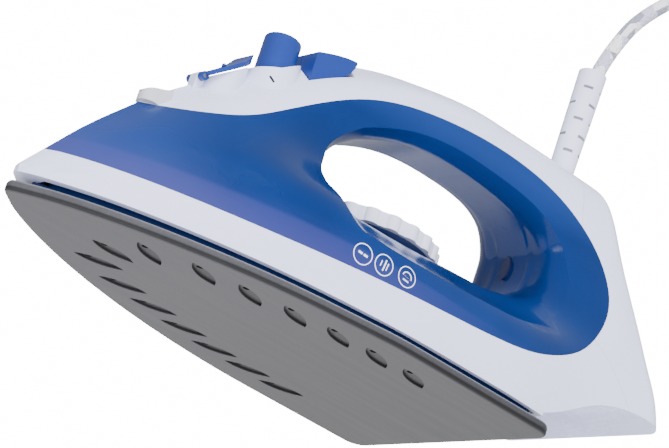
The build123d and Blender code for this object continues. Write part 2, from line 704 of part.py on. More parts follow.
# White upper cover, from the nozzle over the controls to the cord.
upper_region = side_prism([(-20, 45), (-20, 200), (RELIEF_X - SEAM, 200), (RELIEF_X - SEAM, 80),
                           (150, 80), (100, 68), (40, 45)])
collar_top = side_prism([(50, 40), (50, 66), (57.5, 73.1), (66, 80.2), (69, 82.6), (76, 86),
                         (76, 40)], reach=20)
with BuildPart() as fill_collar:
    with BuildSketch(Plane.XY.offset(50)):
        with Locations((at(65.3), 0)):
            Ellipse(7.6, 8.4)
    extrude(amount=50)
    add(collar_top, mode=Mode.INTERSECT)
knob_cup = rod(VALVE_X, 0, 10, KNOB_BOTTOM - 2.3, 100) & form
knob_ring = Pos(at(VALVE_X), 0, 88) * Cone(12, 8.6, 20)
knob_ring &= side_prism([(70, 60), (70, 84), (75.3, 86.9), (81.5, 88.9), (87.2, 92.8), (92, 96),
                         (96, 97.5), (96, 60)])
hinge_lug = block(HINGE_X - 1.8, HINGE_X + 1.8, -HINGE_LUG / 2, HINGE_LUG / 2, 60, HINGE_Z)
hinge_lug += hinge_rod(1.8, HINGE_LUG)
with BuildPart() as handle_cover:
    add(form)
    add(upper_region, mode=Mode.INTERSECT)
    add(blue_grown, mode=Mode.SUBTRACT)
    add(fill_collar.part)
    add(knob_ring)
    add(hinge_lug)
    add(core, mode=Mode.SUBTRACT)
    add(knob_cup)
    add(rod(FILL_X, 0, FILL_R, 60, 95), mode=Mode.SUBTRACT)
    add(rod(VALVE_X, 0, KNOB_R + FREE, KNOB_BOTTOM - 0.3, 120), mode=Mode.SUBTRACT)
    add(rod(VALVE_X, 0, STEM_R + FREE, 80, 90), mode=Mode.SUBTRACT)
    add(button_well, mode=Mode.SUBTRACT)
    add(block(30, NOZZLE_REAR + SEAT, -NOZZLE_R - SEAT, NOZZLE_R + SEAT, 53.3, 70),
        mode=Mode.SUBTRACT)
    add(lying_rod(NOZZLE_REAR, 52, 0, HOSE_END[1] + 0.2, HOSE_R + SEAT), mode=Mode.SUBTRACT)
    add(hinge_rod(HINGE_PIN_R + SEAT, 14), mode=Mode.SUBTRACT)
    add(along_relief(5.2, -9, 4), mode=Mode.SUBTRACT)
export(handle_cover, "handle_cover")

# White rear cover with the heel that the iron stands on.
rear_region = side_prism([(231.2, 50), (261.2, 20), (300, 20), (300, 200), (RELIEF_X, 200),
                          (RELIEF_X, 75)])
rear_bosses = block(RELIEF_X + CORD_R + SEAT, 260, -9, 9, CLAMP_Z - 3, CLAMP_Z + 3)
for y in (28, -28):
    rear_bosses += lying_rod(248.8, 275, y, 37, 4.8)
with BuildPart() as rear_cover:
    add(form)
    add(rear_region, mode=Mode.INTERSECT)
    add(heel_floor, mode=Mode.SUBTRACT)
    add(blue_grown, mode=Mode.SUBTRACT)
    add(void, mode=Mode.SUBTRACT)
    add(rear_bosses & form)
    for y in (28, -28):
        add(lying_rod(245, 280, y, 37, 1.8), mode=Mode.SUBTRACT)
        add(lying_rod(256, 280, y, 37, 3.3), mode=Mode.SUBTRACT)
    for y in (6.3, -6.3):
        add(lying_rod(228, 240, y, CLAMP_Z, 1.1), mode=Mode.SUBTRACT)
    add(along_relief(5.2, -9, 4), mode=Mode.SUBTRACT)
export(rear_cover, "rear_cover")

with BuildPart() as rear_cover_screws:
    for y in (28, -28):
        shank = lying_rod(241.5, 256.5, y, 37, 1.5)
        head = lying_rod(256, 258.2, y, 37, 3.0)
        add(shank + head - block(257.4, 259, y - 0.4, y + 0.4, 33, 41))
export(rear_cover_screws, "rear_cover_screws")

# ---------------------------------------------------------------- filling, spray and burst

with BuildPart() as fill_funnel:
    add(rod(FILL_X, 0, FILL_R + 1, 51, 80))
    add(seated, mode=Mode.INTERSECT)
    add(rod(FILL_X, 0, FILL_R, 50, 80), mode=Mode.SUBTRACT)
export(fill_funnel, "fill_funnel")

with BuildPart() as fill_door:
    with BuildSketch(Plane.XZ):
        with BuildLine():
            Polyline((at(66), 82.9), (at(53.9), 72.6), (at(54.4), 71.1), (at(69), 83.2))
            Spline((at(69), 83.2), (at(71.6), 85.6), (at(73.2), 88), (at(73), 89.5),
                   (at(71.9), 89.8), (at(70.3), 87.9), (at(68.4), 85.2), (at(66), 82.9))
        make_face()
    extrude(amount=12, both=True)
    with BuildSketch(Plane.XY.offset(60)):
        with Locations((at(LID_X), 0)):
            Ellipse(9.3, 9.0)
    extrude(amount=40, mode=Mode.INTERSECT)
    add(hinge_rod(1.7, 9.2))
    add(block(50, HINGE_X + 2.4, -HINGE_LUG / 2 - FREE, HINGE_LUG / 2 + FREE, 60, 80),
        mode=Mode.SUBTRACT)
    add(Pos(at(64.3), 0, 82.0) * Sphere(0.9, mode=Mode.PRIVATE))
    add(hinge_rod(HINGE_PIN_R + RUN, 14), mode=Mode.SUBTRACT)
export(fill_door, "fill_door")

with BuildPart() as door_pin:
    add(hinge_rod(HINGE_PIN_R, 8.8))
export(door_pin, "door_pin")

with BuildPart() as spray_nozzle:
    with BuildSketch(Plane.XY.offset(53.6)):
        with Locations((at(NOZZLE_X), 0)):
            Circle(NOZZLE_R)
        with Locations((at((NOZZLE_X + NOZZLE_REAR) / 2), 0)):
            Rectangle(NOZZLE_REAR - NOZZLE_X, 2 * NOZZLE_R)
    extrude(amount=12)
    with BuildSketch(Plane.XZ):
        with BuildLine():
            Spline((at(34), 53.6), (at(34.8), 56), (at(36.6), 57.9), (at(39), 58.8),
                   (at(42), 59.7), (at(NOZZLE_REAR), 62))
            Polyline((at(NOZZLE_REAR), 62), (at(NOZZLE_REAR), 56.5), (at(43.5), 53.6),
                     (at(34), 53.6))
        make_face()
    extrude(amount=NOZZLE_R + 1, both=True, mode=Mode.INTERSECT)
    add(lying_rod(HOSE_END[0] - 0.3, 51, 0, HOSE_END[1], HOSE_R + 0.3), mode=Mode.SUBTRACT)
    add(lying_rod(30, HOSE_END[0] + 0.5, 0, JET_Z, 0.5), mode=Mode.SUBTRACT)
export(spray_nozzle, "spray_nozzle")

with BuildPart() as spray_hose:
    add(wire([(98.3, -PUMP_Y, 86.9), (96, -5, 86.6), (91.5, -8.2, 80.5), (84, -9.2, 75.6),
              (76, -9.3, 69.5), (68, -9, 64.2), (60.5, -7.4, 60.2), (54, -2.6, 58.4),
              (48, 0, HOSE_END[1]), (HOSE_END[0], 0, HOSE_END[1])], HOSE_R))
export(spray_hose, "spray_hose")

with BuildPart() as burst_tube:
    add(wire([(98.3, PUMP_Y, 86.9), (96, 5, 86.6), (BURST_X, BURST_Y, 80.5),
              (BURST_X, BURST_Y, 72)], BURST_R - 0.3))
    add(rod(BURST_X, BURST_Y, BURST_R, 13, 74))
export(burst_tube, "burst_tube")

with BuildPart() as intake_tubes:
    for y in (PUMP_Y, -PUMP_Y):
        add(rod(PUMP_X, y, 1.5, 28, PUMP_BOTTOM))
        add(rod(PUMP_X, y, 0.8, 27, PUMP_BOTTOM + 1), mode=Mode.SUBTRACT)
export(intake_tubes, "intake_tubes")


def pump(side):
    """Pump barrel under a button, with its bore open at the top."""
    with BuildPart() as barrel:
        add(rod(PUMP_X, side, PUMP_R, PUMP_BOTTOM, PUMP_TOP))
        add(rod(PUMP_X, side, PLUNGER_R + RUN, PUMP_BOTTOM + 1.5, PUMP_TOP + 1),
            mode=Mode.SUBTRACT)
    return barrel


def plunger(side):
    """Plunger that a button drives into its pump."""
    with BuildPart() as stem:
        add(rod(PUMP_X, side, PLUNGER_R, PUMP_BOTTOM + 6, PLUNGER_TOP))
    return stem


def push_button(side_low, side_high, pump_side):
    """Half of the double button, with a pocket under it for its spring."""
    with BuildPart() as button:
        with BuildSketch(Plane.XZ.offset(-side_low)):
            with BuildLine():
                Polyline((at(BUTTON_FRONT), 102.9), (at(BUTTON_FRONT), BUTTON_BOTTOM),
                         (at(BUTTON_HEEL), BUTTON_BOTTOM), (at(BUTTON_HEEL), 98.8))
                Spline((at(BUTTON_HEEL), 98.8), (at(110.5), 102), (at(112.2), 105.2),
                       (at(BUTTON_REAR), 108))
                Spline((at(BUTTON_REAR), 108), (at(106.4), 106.9), (at(99.6), 104.8),
                       (at(BUTTON_FRONT), 102.9))
            make_face()
        extrude(amount=side_low - side_high)
        ends = button.edges().filter_by(Axis.Y).filter_by_position(Axis.Z, 102, 112)
        fillet(ends, radius=0.7)
        skirt = math.copysign(BUTTON_SIDE - 0.5, pump_side)
        add(block(BUTTON_FRONT, BUTTON_HEEL, skirt - 0.5, skirt + 0.5, BUTTON_SKIRT,
                  BUTTON_BOTTOM + 1))
        add(rod(PUMP_X, pump_side, PUMP_R - 0.1, BUTTON_BOTTOM - 1, PLUNGER_TOP),
            mode=Mode.SUBTRACT)
    return button


HALF_GAP = 0.2
export(push_button(-BUTTON_SIDE, -HALF_GAP, -PUMP_Y), "spray_button")
export(push_button(HALF_GAP, BUTTON_SIDE, PUMP_Y), "burst_button")
for name, side in (("spray", -PUMP_Y), ("burst", PUMP_Y)):
    export(pump(side), f"{name}_pump")
    export(plunger(side), f"{name}_plunger")
    with BuildPart() as button_spring:
        add(helix_spring(PUMP_X, side, 2.4, 0.3, PUMP_TOP, PLUNGER_TOP, 4))
    export(button_spring, f"{name}_spring")

# ---------------------------------------------------------------- steam valve

with BuildPart() as steam_knob:
    add(rod(VALVE_X, 0, KNOB_R, KNOB_BOTTOM, KNOB_TOP))
    fillet(steam_knob.edges().group_by(Axis.Z)[-1], radius=1.5)
    add(rod(VALVE_X, 0, STEM_R, STEM_BOTTOM, KNOB_BOTTOM + 1))
    add(rod(VALVE_X, 0, ROD_R + RUN, STEM_BOTTOM - 1, 102), mode=Mode.SUBTRACT)
export(steam_knob, "steam_knob")

with BuildPart() as steam_valve_rod:
    add(rod(VALVE_X, 0, ROD_R, SEAT_TOP + 1.6, ROD_TOP))
    add(Pos(at(VALVE_X), 0, SEAT_TOP + 0.6) * Cone(0.8, ROD_R, 2, mode=Mode.PRIVATE))
export(steam_valve_rod, "steam_valve_rod")

with BuildPart() as valve_spring:
    add(helix_spring(VALVE_X, 0, 1.6, 0.3, ROD_TOP, 102, 4))
export(valve_spring, "valve_spring")

with BuildPart() as valve_seat:
    add(rod(VALVE_X, 0, 7, SEAT_TOP - 2, SEAT_TOP))
    add(rod(VALVE_X, 0, 3.5, CHAMBER_TOP + 0.2, SEAT_TOP - 1))
    add(rod(VALVE_X, 0, 1.3, 10, SEAT_TOP + 1), mode=Mode.SUBTRACT)
export(valve_seat, "valve_seat")

# ---------------------------------------------------------------- temperature control

with BuildPart() as temperature_dial:
    with BuildSketch(Plane.XY.offset(DIAL_Z)):
        with Locations((at(DIAL_X), 0)):
            Circle(DIAL_R - 1.2)
            with PolarLocations(DIAL_R - 3.4, DIAL_LOBES):
                Circle(3.4)
    extrude(amount=DIAL_HEIGHT)
    add(rod(DIAL_X, 0, SHAFT_R + RUN, DIAL_Z - 1, DIAL_Z + 3.5), mode=Mode.SUBTRACT)
export(temperature_dial, "temperature_dial")

with BuildPart() as thermostat_shaft:
    add(rod(DIAL_X, 0, SHAFT_R, 12, DIAL_Z + 3.5))
export(thermostat_shaft, "thermostat_shaft")

with BuildPart() as dial_collar:
    add(Pos(at(DIAL_X), 0, DIAL_Z - 0.3 - 5) * Cone(20.5, 26, 10, mode=Mode.PRIVATE))
    add(opening.moved(Location((0, 0, SEAT))), mode=Mode.INTERSECT)
    add(rod(DIAL_X, 0, SHAFT_R + RUN, 30, 60), mode=Mode.SUBTRACT)
export(dial_collar, "dial_collar")

with BuildPart() as pilot_lens:
    with BuildSketch(Plane.YZ.offset(at(215.4))):
        with Locations((LENS_Y, LENS_Z)):
            Ellipse(2.5 - SEAT, 5 - SEAT)
    extrude(amount=4)
export(pilot_lens, "pilot_lens")

with BuildPart() as pilot_lamp:
    add(lying_rod(219.6, 227, LENS_Y, LENS_Z, 2.2))
export(pilot_lamp, "pilot_lamp")

# ---------------------------------------------------------------- cord entry and wiring

with BuildPart() as terminal_block:
    add(block(BLOCK_X - 6, BLOCK_X + 6, -15, 15, BLOCK_Z, BLOCK_Z + BLOCK_HEIGHT))
    for y in (9, 0, -9):
        add(rod(BLOCK_X, y, 2, BLOCK_Z + 8, BLOCK_Z + BLOCK_HEIGHT + 1), mode=Mode.SUBTRACT)
export(terminal_block, "terminal_block")

with BuildPart() as cord_clamp:
    add(block(219.6, 222.6, -9, 9, CLAMP_Z - 3, CLAMP_Z + 3))
    for y in (6.3, -6.3):
        add(lying_rod(215, 226, y, CLAMP_Z, 1.3), mode=Mode.SUBTRACT)
export(cord_clamp, "cord_clamp")

with BuildPart() as clamp_screws:
    for y in (6.3, -6.3):
        add(lying_rod(219.5, 238, y, CLAMP_Z, 1.05))
        add(lying_rod(217.6, 219.6, y, CLAMP_Z, 2.2))
export(clamp_screws, "clamp_screws")

with BuildPart() as lead_wires:
    for y in (1, -1):
        add(wire([(226, 1.5 * y, 95.8), (226, 1.6 * y, 92), (231, 6.5 * y, 70),
                  (BLOCK_X, 9 * y, 58), (BLOCK_X, 9 * y, BLOCK_Z + BLOCK_HEIGHT - 3.8)], 1.1))
export(lead_wires, "lead_wires")

with BuildPart() as heater_leads:
    for y in (1, -1):
        add(wire([(BLOCK_X - 6.1, 8 * y, 46), (225.5, 8.2 * y, 46), (216, 13 * y, 34),
                  (208, 20 * y, 24.5), (200.5, LEG_Y * y, 19.5),
                  (200.5, LEG_Y * y, ELEMENT_Z + PIN_R + 0.1)], 1.1))
export(heater_leads, "heater_leads")

with BuildPart() as cord_sleeve:
    taper = Cone(5.0, 5.8, RELIEF_LENGTH + 9, mode=Mode.PRIVATE)
    add(relief_axis * Pos(0, 0, RELIEF_LENGTH / 2 - 4.5) * taper)
    add(along_relief(6.0, -9.5, -5.5))
    add(along_relief(CORD_R + RUN, -20, RELIEF_LENGTH), mode=Mode.SUBTRACT)
    mouth = Cone(CORD_R + RUN, 4.9, 22, mode=Mode.PRIVATE)
    add(relief_axis * Pos(0, 0, RELIEF_LENGTH - 11) * mouth, mode=Mode.SUBTRACT)
    for row in range(5):
        for turn in (-50, 50, 130, 230):
            place = relief_axis * Pos(0, 0, 8 + 7.2 * row) * Rot(0, 0, turn + 45 * (row % 2))
            slot = Pos(5.8, 0, 0) * Box(2, 4, 1.3, mode=Mode.PRIVATE)
            add(place * slot, mode=Mode.SUBTRACT)
export(cord_sleeve, "cord_sleeve")

TAIL_END = 28.0  # the cord runs straight from the clamp to this far up the relief
with BuildPart() as cord_tail:
    add(along_relief(CORD_R, 96 - RELIEF_FOOT, TAIL_END))
export(cord_tail, "cord_tail")


def cord_route():
    """Corner points of the cord's free route, from inside the relief to its coil."""
    start = relief_axis.origin + relief_axis.z_dir * TAIL_END
    points = [(229.6, 0, 163), (234.2, 0, 180), (245.3, 0, 204), (277.3, 0, 236.8),
              (322, -8, 222), (344, -20, 160), (350, -30, 105), (346, -34, 52),
              (330, -34, 20), (304, -34, 8)]
    return [tuple(start)] + [(at(x), y, z) for x, y, z in points]


def corner_radii(points):
    """Largest arc for each corner: 0.45 of the shorter run over the half turn's tangent."""
    radii = []
    for before, here, after in zip(points, points[1:], points[2:]):
        arrive = Vector(*here) - Vector(*before)
        leave = Vector(*after) - Vector(*here)
        half_turn = math.radians(arrive.get_angle(leave)) / 2
        radii.append(0.45 * min(arrive.length, leave.length) / math.tan(half_turn))
    return radii


cord_points = cord_route()
cord_radii = corner_radii(cord_points)
print("cord radii", [round(r, 1) for r in cord_radii])
with BuildPart() as power_cord:
    with BuildLine() as cord_line:
        FilletPolyline(*cord_points, radius=cord_radii)
    with BuildSketch(Plane(origin=cord_line.line @ 0, z_dir=cord_line.line % 0)):
        Circle(CORD_R)
    sweep()
cord_length = sum(edge.length for edge in cord_line.line.edges())
print("cord tube", round(cord_length), round(power_cord.part.volume),
      round(cord_length * math.pi * CORD_R**2))
export(power_cord, "power_cord")

COIL_WIDTH = 24.0  # four turns side by side
COIL_HEIGHT = 11.6  # two layers, the upper one nested in the lower
with BuildPart() as cord_coil:
    with BuildSketch(Plane.XZ):
        with Locations((at(COIL_X) + COIL_R, COIL_HEIGHT / 2)):
            RectangleRounded(COIL_WIDTH, COIL_HEIGHT, 2.9)
    revolve(axis=Axis((at(COIL_X), 0, 0), (0, 0, 1)))
export(cord_coil, "cord_coil")

# The plug lies on the floor beside the coil, its tail rising out of the turns.
PLUG_LENGTH = 34.0
PLUG_TAIL = 32.0
PLUG_NECK_R = 6.2
PLUG_FACE_R = PLUG_R - 1.2
SHOULDER = 14.0  # from the tail's end to the plug's full width, on which the plug rests
shoulder_reach = math.hypot(PLUG_TAIL + SHOULDER, PLUG_FACE_R)
PLUG_TILT = math.degrees(math.atan2(PLUG_FACE_R, PLUG_TAIL + SHOULDER)
                         - math.asin(PLUG_NECK_R / shoulder_reach))
plug_axis = Plane(origin=(at(COIL_X) + COIL_R, 3, PLUG_NECK_R), x_dir=(1, 0, 0),
                  z_dir=(0, math.cos(math.radians(PLUG_TILT)), math.sin(math.radians(PLUG_TILT))))
with BuildPart() as plug_body:
    with BuildSketch(plug_axis):
        Circle(3.4)
    with BuildSketch(plug_axis.offset(PLUG_TAIL)):
        Circle(PLUG_NECK_R)
    loft()
    with BuildSketch(plug_axis.offset(PLUG_TAIL)):
        Circle(9)
    with BuildSketch(plug_axis.offset(PLUG_TAIL + SHOULDER)):
        Circle(PLUG_FACE_R)
    loft()
    with BuildSketch(plug_axis.offset(PLUG_TAIL + SHOULDER)):
        Circle(PLUG_FACE_R)
    extrude(amount=PLUG_LENGTH - SHOULDER)
export(plug_body, "plug_body")

PLUG_PIN_R = 2.4
PLUG_PIN_LENGTH = 19.0
with BuildPart() as plug_pins:
    with BuildSketch(plug_axis.offset(PLUG_TAIL + PLUG_LENGTH)):
        with Locations((9.5, 0), (-9.5, 0)):
            Circle(PLUG_PIN_R)
    extrude(amount=PLUG_PIN_LENGTH)
export(plug_pins, "plug_pins")
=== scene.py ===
"""Dressed model of a steam iron with a see-through blue tank and a braided cord."""

import logging
import math
from dataclasses import dataclass, field
from enum import Enum

import bmesh
import bpy
from mathutils import Matrix, Vector


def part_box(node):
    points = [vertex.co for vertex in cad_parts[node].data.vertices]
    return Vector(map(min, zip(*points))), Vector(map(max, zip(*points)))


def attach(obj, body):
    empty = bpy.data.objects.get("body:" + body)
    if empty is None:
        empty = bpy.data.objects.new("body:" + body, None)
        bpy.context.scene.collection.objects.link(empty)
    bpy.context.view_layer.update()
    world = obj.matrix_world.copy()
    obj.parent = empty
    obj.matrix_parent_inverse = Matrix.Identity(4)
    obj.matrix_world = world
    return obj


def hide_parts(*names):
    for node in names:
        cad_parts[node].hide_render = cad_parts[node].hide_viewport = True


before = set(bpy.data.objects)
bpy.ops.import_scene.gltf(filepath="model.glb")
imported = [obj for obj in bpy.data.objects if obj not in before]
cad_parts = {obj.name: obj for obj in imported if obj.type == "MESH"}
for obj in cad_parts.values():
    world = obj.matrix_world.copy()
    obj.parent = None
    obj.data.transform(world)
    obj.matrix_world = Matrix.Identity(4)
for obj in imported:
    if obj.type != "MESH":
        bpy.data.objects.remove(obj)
LOG = logging.getLogger("steam_iron")
MM = 0.001
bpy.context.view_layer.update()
SOLE_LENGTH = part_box("soleplate")[1].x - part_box("soleplate")[0].x
Color = tuple[float, float, float]
Place = tuple[float, float, float]
# Sockets of a Mix node, which repeat their names for every data type.
MIX_FIRST_VALUE, MIX_SECOND_VALUE, MIX_VALUE = 2, 3, 0
MIX_FIRST_COLOR, MIX_SECOND_COLOR, MIX_COLOR = 6, 7, 2


def at(distance: float) -> float:
    """X in metres of a place that many millimetres back from the sole's nose."""
    return distance * MM - SOLE_LENGTH / 2


# ---------------------------------------------------------------- finishes


def grey(level: float) -> tuple[float, ...]:
    """A grey of that level, with full alpha."""
    return (level, level, level, 1.0)


def shade(color: Color, factor: float) -> tuple[float, ...]:
    """A colour made lighter or darker, with full alpha."""
    return tuple(min(1.0, c * factor) for c in color) + (1.0,)


class Nodes:
    """A small wrapper that adds and links shader nodes in one material."""

    def __init__(self, name: str) -> None:
        """Start an empty node material with a Principled shader.

        Args:
            name: The material's name.
        """
        self.material = bpy.data.materials.new(name)
        self.material.use_nodes = True
        self.tree = self.material.node_tree
        self.tree.nodes.clear()
        self.output = self.add("ShaderNodeOutputMaterial")
        self.shader = self.add("ShaderNodeBsdfPrincipled")
        self.link(self.shader.outputs["BSDF"], self.output.inputs["Surface"])

    def add(self, kind: str, **values: object) -> bpy.types.Node:
        """Add a node and set its attributes.

        Args:
            kind: The node's type.
            **values: Attributes to set on it.

        Returns:
            The new node.
        """
        node = self.tree.nodes.new(kind)
        for key, value in values.items():
            setattr(node, key, value)
        return node

    def link(self, start: bpy.types.NodeSocket, end: bpy.types.NodeSocket) -> None:
        """Link one socket to another."""
        self.tree.links.new(start, end)

    def set(self, **values: object) -> None:
        """Set the shader's own sockets, named with underscores for spaces."""
        for key, value in values.items():
            self.shader.inputs[key.replace("_", " ")].default_value = value

    def coordinates(self, scale: tuple[float, float, float] = (1, 1, 1)) -> bpy.types.NodeSocket:
        """Object coordinates scaled along each axis.

        Args:
            scale: Factors along X, Y and Z.

        Returns:
            The mapped vector's socket.
        """
        source = self.add("ShaderNodeTexCoord")
        mapping = self.add("ShaderNodeMapping")
        mapping.inputs["Scale"].default_value = scale
        self.link(source.outputs["Object"], mapping.inputs["Vector"])
        return mapping.outputs["Vector"]

    def noise(self, vector: bpy.types.NodeSocket, scale: float,
              detail: float = 3.0) -> bpy.types.NodeSocket:
        """A noise texture's factor.

        Args:
            vector: Where the noise is read.
            scale: Its scale.
            detail: Its octaves.

        Returns:
            The factor's socket.
        """
        node = self.add("ShaderNodeTexNoise")
        node.inputs["Scale"].default_value = scale
        node.inputs["Detail"].default_value = detail
        self.link(vector, node.inputs["Vector"])
        return node.outputs["Fac"]

    def ramp(self, factor: bpy.types.NodeSocket,
             stops: list[tuple[float, tuple[float, ...]]]) -> bpy.types.NodeSocket:
        """A colour ramp on a factor.

        Args:
            factor: The value that the ramp reads.
            stops: Positions and RGBA colours.

        Returns:
            The colour's socket.
        """
        node = self.add("ShaderNodeValToRGB")
        ramp = node.color_ramp
        while len(ramp.elements) < len(stops):
            ramp.elements.new(0.5)
        for element, (place, color) in zip(ramp.elements, stops):
            element.position = place
            element.color = color
        self.link(factor, node.inputs["Fac"])
        return node.outputs["Color"]

    def spread(self, factor: bpy.types.NodeSocket, low: float,
               high: float) -> bpy.types.NodeSocket:
        """Map a factor of 0 to 1 onto a range.

        Args:
            factor: The value to map.
            low: The result at 0.
            high: The result at 1.

        Returns:
            The mapped value's socket.
        """
        node = self.add("ShaderNodeMapRange")
        node.inputs["To Min"].default_value = low
        node.inputs["To Max"].default_value = high
        self.link(factor, node.inputs["Value"])
        return node.outputs["Result"]

    def place(self, axis: str, low: float, high: float) -> bpy.types.NodeSocket:
        """How far a point lies between two places on one of the object's axes.

        Args:
            axis: X, Y or Z.
            low: The place that gives 0, in metres.
            high: The place that gives 1, in metres.

        Returns:
            The socket of a value held between 0 and 1.
        """
        split = self.add("ShaderNodeSeparateXYZ")
        self.link(self.coordinates(), split.inputs["Vector"])
        node = self.add("ShaderNodeMapRange")
        node.inputs["From Min"].default_value = low
        node.inputs["From Max"].default_value = high
        self.link(split.outputs[axis], node.inputs["Value"])
        return node.outputs["Result"]

    def mix(self, factor: bpy.types.NodeSocket, first: bpy.types.NodeSocket,
            second: Color) -> bpy.types.NodeSocket:
        """Turn a colour into one plain colour by a factor.

        Args:
            factor: The share of the plain colour.
            first: The colour at a share of 0.
            second: The plain colour.

        Returns:
            The mixed colour's socket.
        """
        node = self.add("ShaderNodeMix", data_type="RGBA", blend_type="MIX")
        self.link(factor, node.inputs["Factor"])
        self.link(first, node.inputs[MIX_FIRST_COLOR])
        node.inputs[MIX_SECOND_COLOR].default_value = shade(second, 1)
        return node.outputs[MIX_COLOR]

    def multiply(self, *colors: bpy.types.NodeSocket) -> bpy.types.NodeSocket:
        """Multiply colours with each other.

        Args:
            *colors: The colours' sockets.

        Returns:
            The product's socket.
        """
        product = colors[0]
        for color in colors[1:]:
            node = self.add("ShaderNodeMix", data_type="RGBA", blend_type="MULTIPLY")
            node.inputs["Factor"].default_value = 1.0
            self.link(product, node.inputs[MIX_FIRST_COLOR])
            self.link(color, node.inputs[MIX_SECOND_COLOR])
            product = node.outputs[MIX_COLOR]
        return product

    def average(self, first: bpy.types.NodeSocket,
                second: bpy.types.NodeSocket) -> bpy.types.NodeSocket:
        """The middle between two values.

        Args:
            first: One value's socket.
            second: The other value's socket.

        Returns:
            The mean's socket.
        """
        node = self.add("ShaderNodeMix", data_type="FLOAT")
        node.inputs["Factor"].default_value = 0.5
        self.link(first, node.inputs[MIX_FIRST_VALUE])
        self.link(second, node.inputs[MIX_SECOND_VALUE])
        return node.outputs[MIX_VALUE]

    def work_out(self, operation: str,
                 *values: bpy.types.NodeSocket | float) -> bpy.types.NodeSocket:
        """Work out a value.

        Args:
            operation: The sum's kind.
            *values: Sockets or plain numbers that go into it, in order.

        Returns:
            The result's socket.
        """
        node = self.add("ShaderNodeMath", operation=operation)
        for socket, value in zip(node.inputs, values):
            if isinstance(value, (int, float)):
                socket.default_value = value
            else:
                self.link(value, socket)
        return node.outputs["Value"]

    def bump(self, height: bpy.types.NodeSocket, strength: float, depth: float) -> None:
        """Drive the shader's normal with a bump.

        Args:
            height: The bump's height.
            strength: Its strength.
            depth: Its distance in metres.
        """
        node = self.add("ShaderNodeBump")
        node.inputs["Strength"].default_value = strength
        node.inputs["Distance"].default_value = depth
        self.link(height, node.inputs["Height"])
        self.link(node.outputs["Normal"], self.shader.inputs["Normal"])


@dataclass(frozen=True)
class MouldedPlastic:
    """Injection-moulded plastic with a faint mottle and a fine skin."""

    name: str
    color: Color
    roughness: float = 0.28
    mottle: float = 0.06
    skin: float = 0.08
    coat: float = 0.0
    coat_roughness: float = 0.08
    cloud_scale: float = 38.0
    patch_scale: float = 210.0
    grain_scale: float = 1900.0
    grain_depth: float = 0.06 * MM

    def build(self) -> bpy.types.Material:
        """Make the material.

        Returns:
            The node material.
        """
        nodes = Nodes(self.name)
        place = nodes.coordinates()
        cloud = nodes.noise(place, self.cloud_scale, 4)
        tint = nodes.ramp(cloud, [(0.3, shade(self.color, 1 - self.mottle)),
                                  (0.7, shade(self.color, 1 + self.mottle))])
        nodes.link(tint, nodes.shader.inputs["Base Color"])
        patches = nodes.noise(place, self.patch_scale)
        nodes.link(nodes.spread(patches, self.roughness * 0.8, self.roughness * 1.25),
                   nodes.shader.inputs["Roughness"])
        nodes.bump(nodes.noise(place, self.grain_scale, 2), self.skin, self.grain_depth)
        nodes.set(Coat_Weight=self.coat, Coat_Roughness=self.coat_roughness)
        return nodes.material


@dataclass(frozen=True)
class PaleFloor:
    """The studio's pale floor, which glows a little to stay even."""

    name: str
    color: Color
    glow: float
    roughness: float = 0.9
    mottle: float = 0.01
    cloud_scale: float = 3.0

    def build(self) -> bpy.types.Material:
        """Make the material.

        Returns:
            The node material.
        """
        nodes = Nodes(self.name)
        cloud = nodes.noise(nodes.coordinates(), self.cloud_scale, 2)
        tint = nodes.ramp(cloud, [(0.3, shade(self.color, 1 - self.mottle)),
                                  (0.7, shade(self.color, 1 + self.mottle))])
        nodes.link(tint, nodes.shader.inputs["Base Color"])
        nodes.set(Roughness=self.roughness, Emission_Color=grey(1), Emission_Strength=self.glow)
        return nodes.material


@dataclass(frozen=True)
class SeeThroughPlastic:
    """Tinted clear plastic with a faint cloudiness."""

    name: str
    light: Color
    deep: Color
    roughness: float = 0.12
    transmission: float = 0.55
    coat: float = 0.05
    coat_roughness: float = 0.1
    specular: float = 0.3
    refraction: float = 1.45
    cloud_scale: float = 22.0
    patch_scale: float = 160.0

    def build(self) -> bpy.types.Material:
        """Make the material.

        Returns:
            The node material.
        """
        nodes = Nodes(self.name)
        nodes.link(self.tint(nodes), nodes.shader.inputs["Base Color"])
        patches = nodes.noise(nodes.coordinates(), self.patch_scale)
        nodes.link(nodes.spread(patches, self.roughness * 0.7, self.roughness * 1.4),
                   nodes.shader.inputs["Roughness"])
        nodes.set(IOR=self.refraction, Transmission_Weight=self.transmission,
                  Coat_Weight=self.coat, Coat_Roughness=self.coat_roughness,
                  Specular_IOR_Level=self.specular)
        return nodes.material

    def tint(self, nodes: Nodes) -> bpy.types.NodeSocket:
        """Colour of the plastic, clouded between its light and its deep tone.

        Args:
            nodes: The material's nodes.

        Returns:
            The colour's socket.
        """
        cloud = nodes.noise(nodes.coordinates(), self.cloud_scale, 2)
        return nodes.ramp(cloud, [(0.32, shade(self.deep, 1)), (0.7, shade(self.light, 1))])


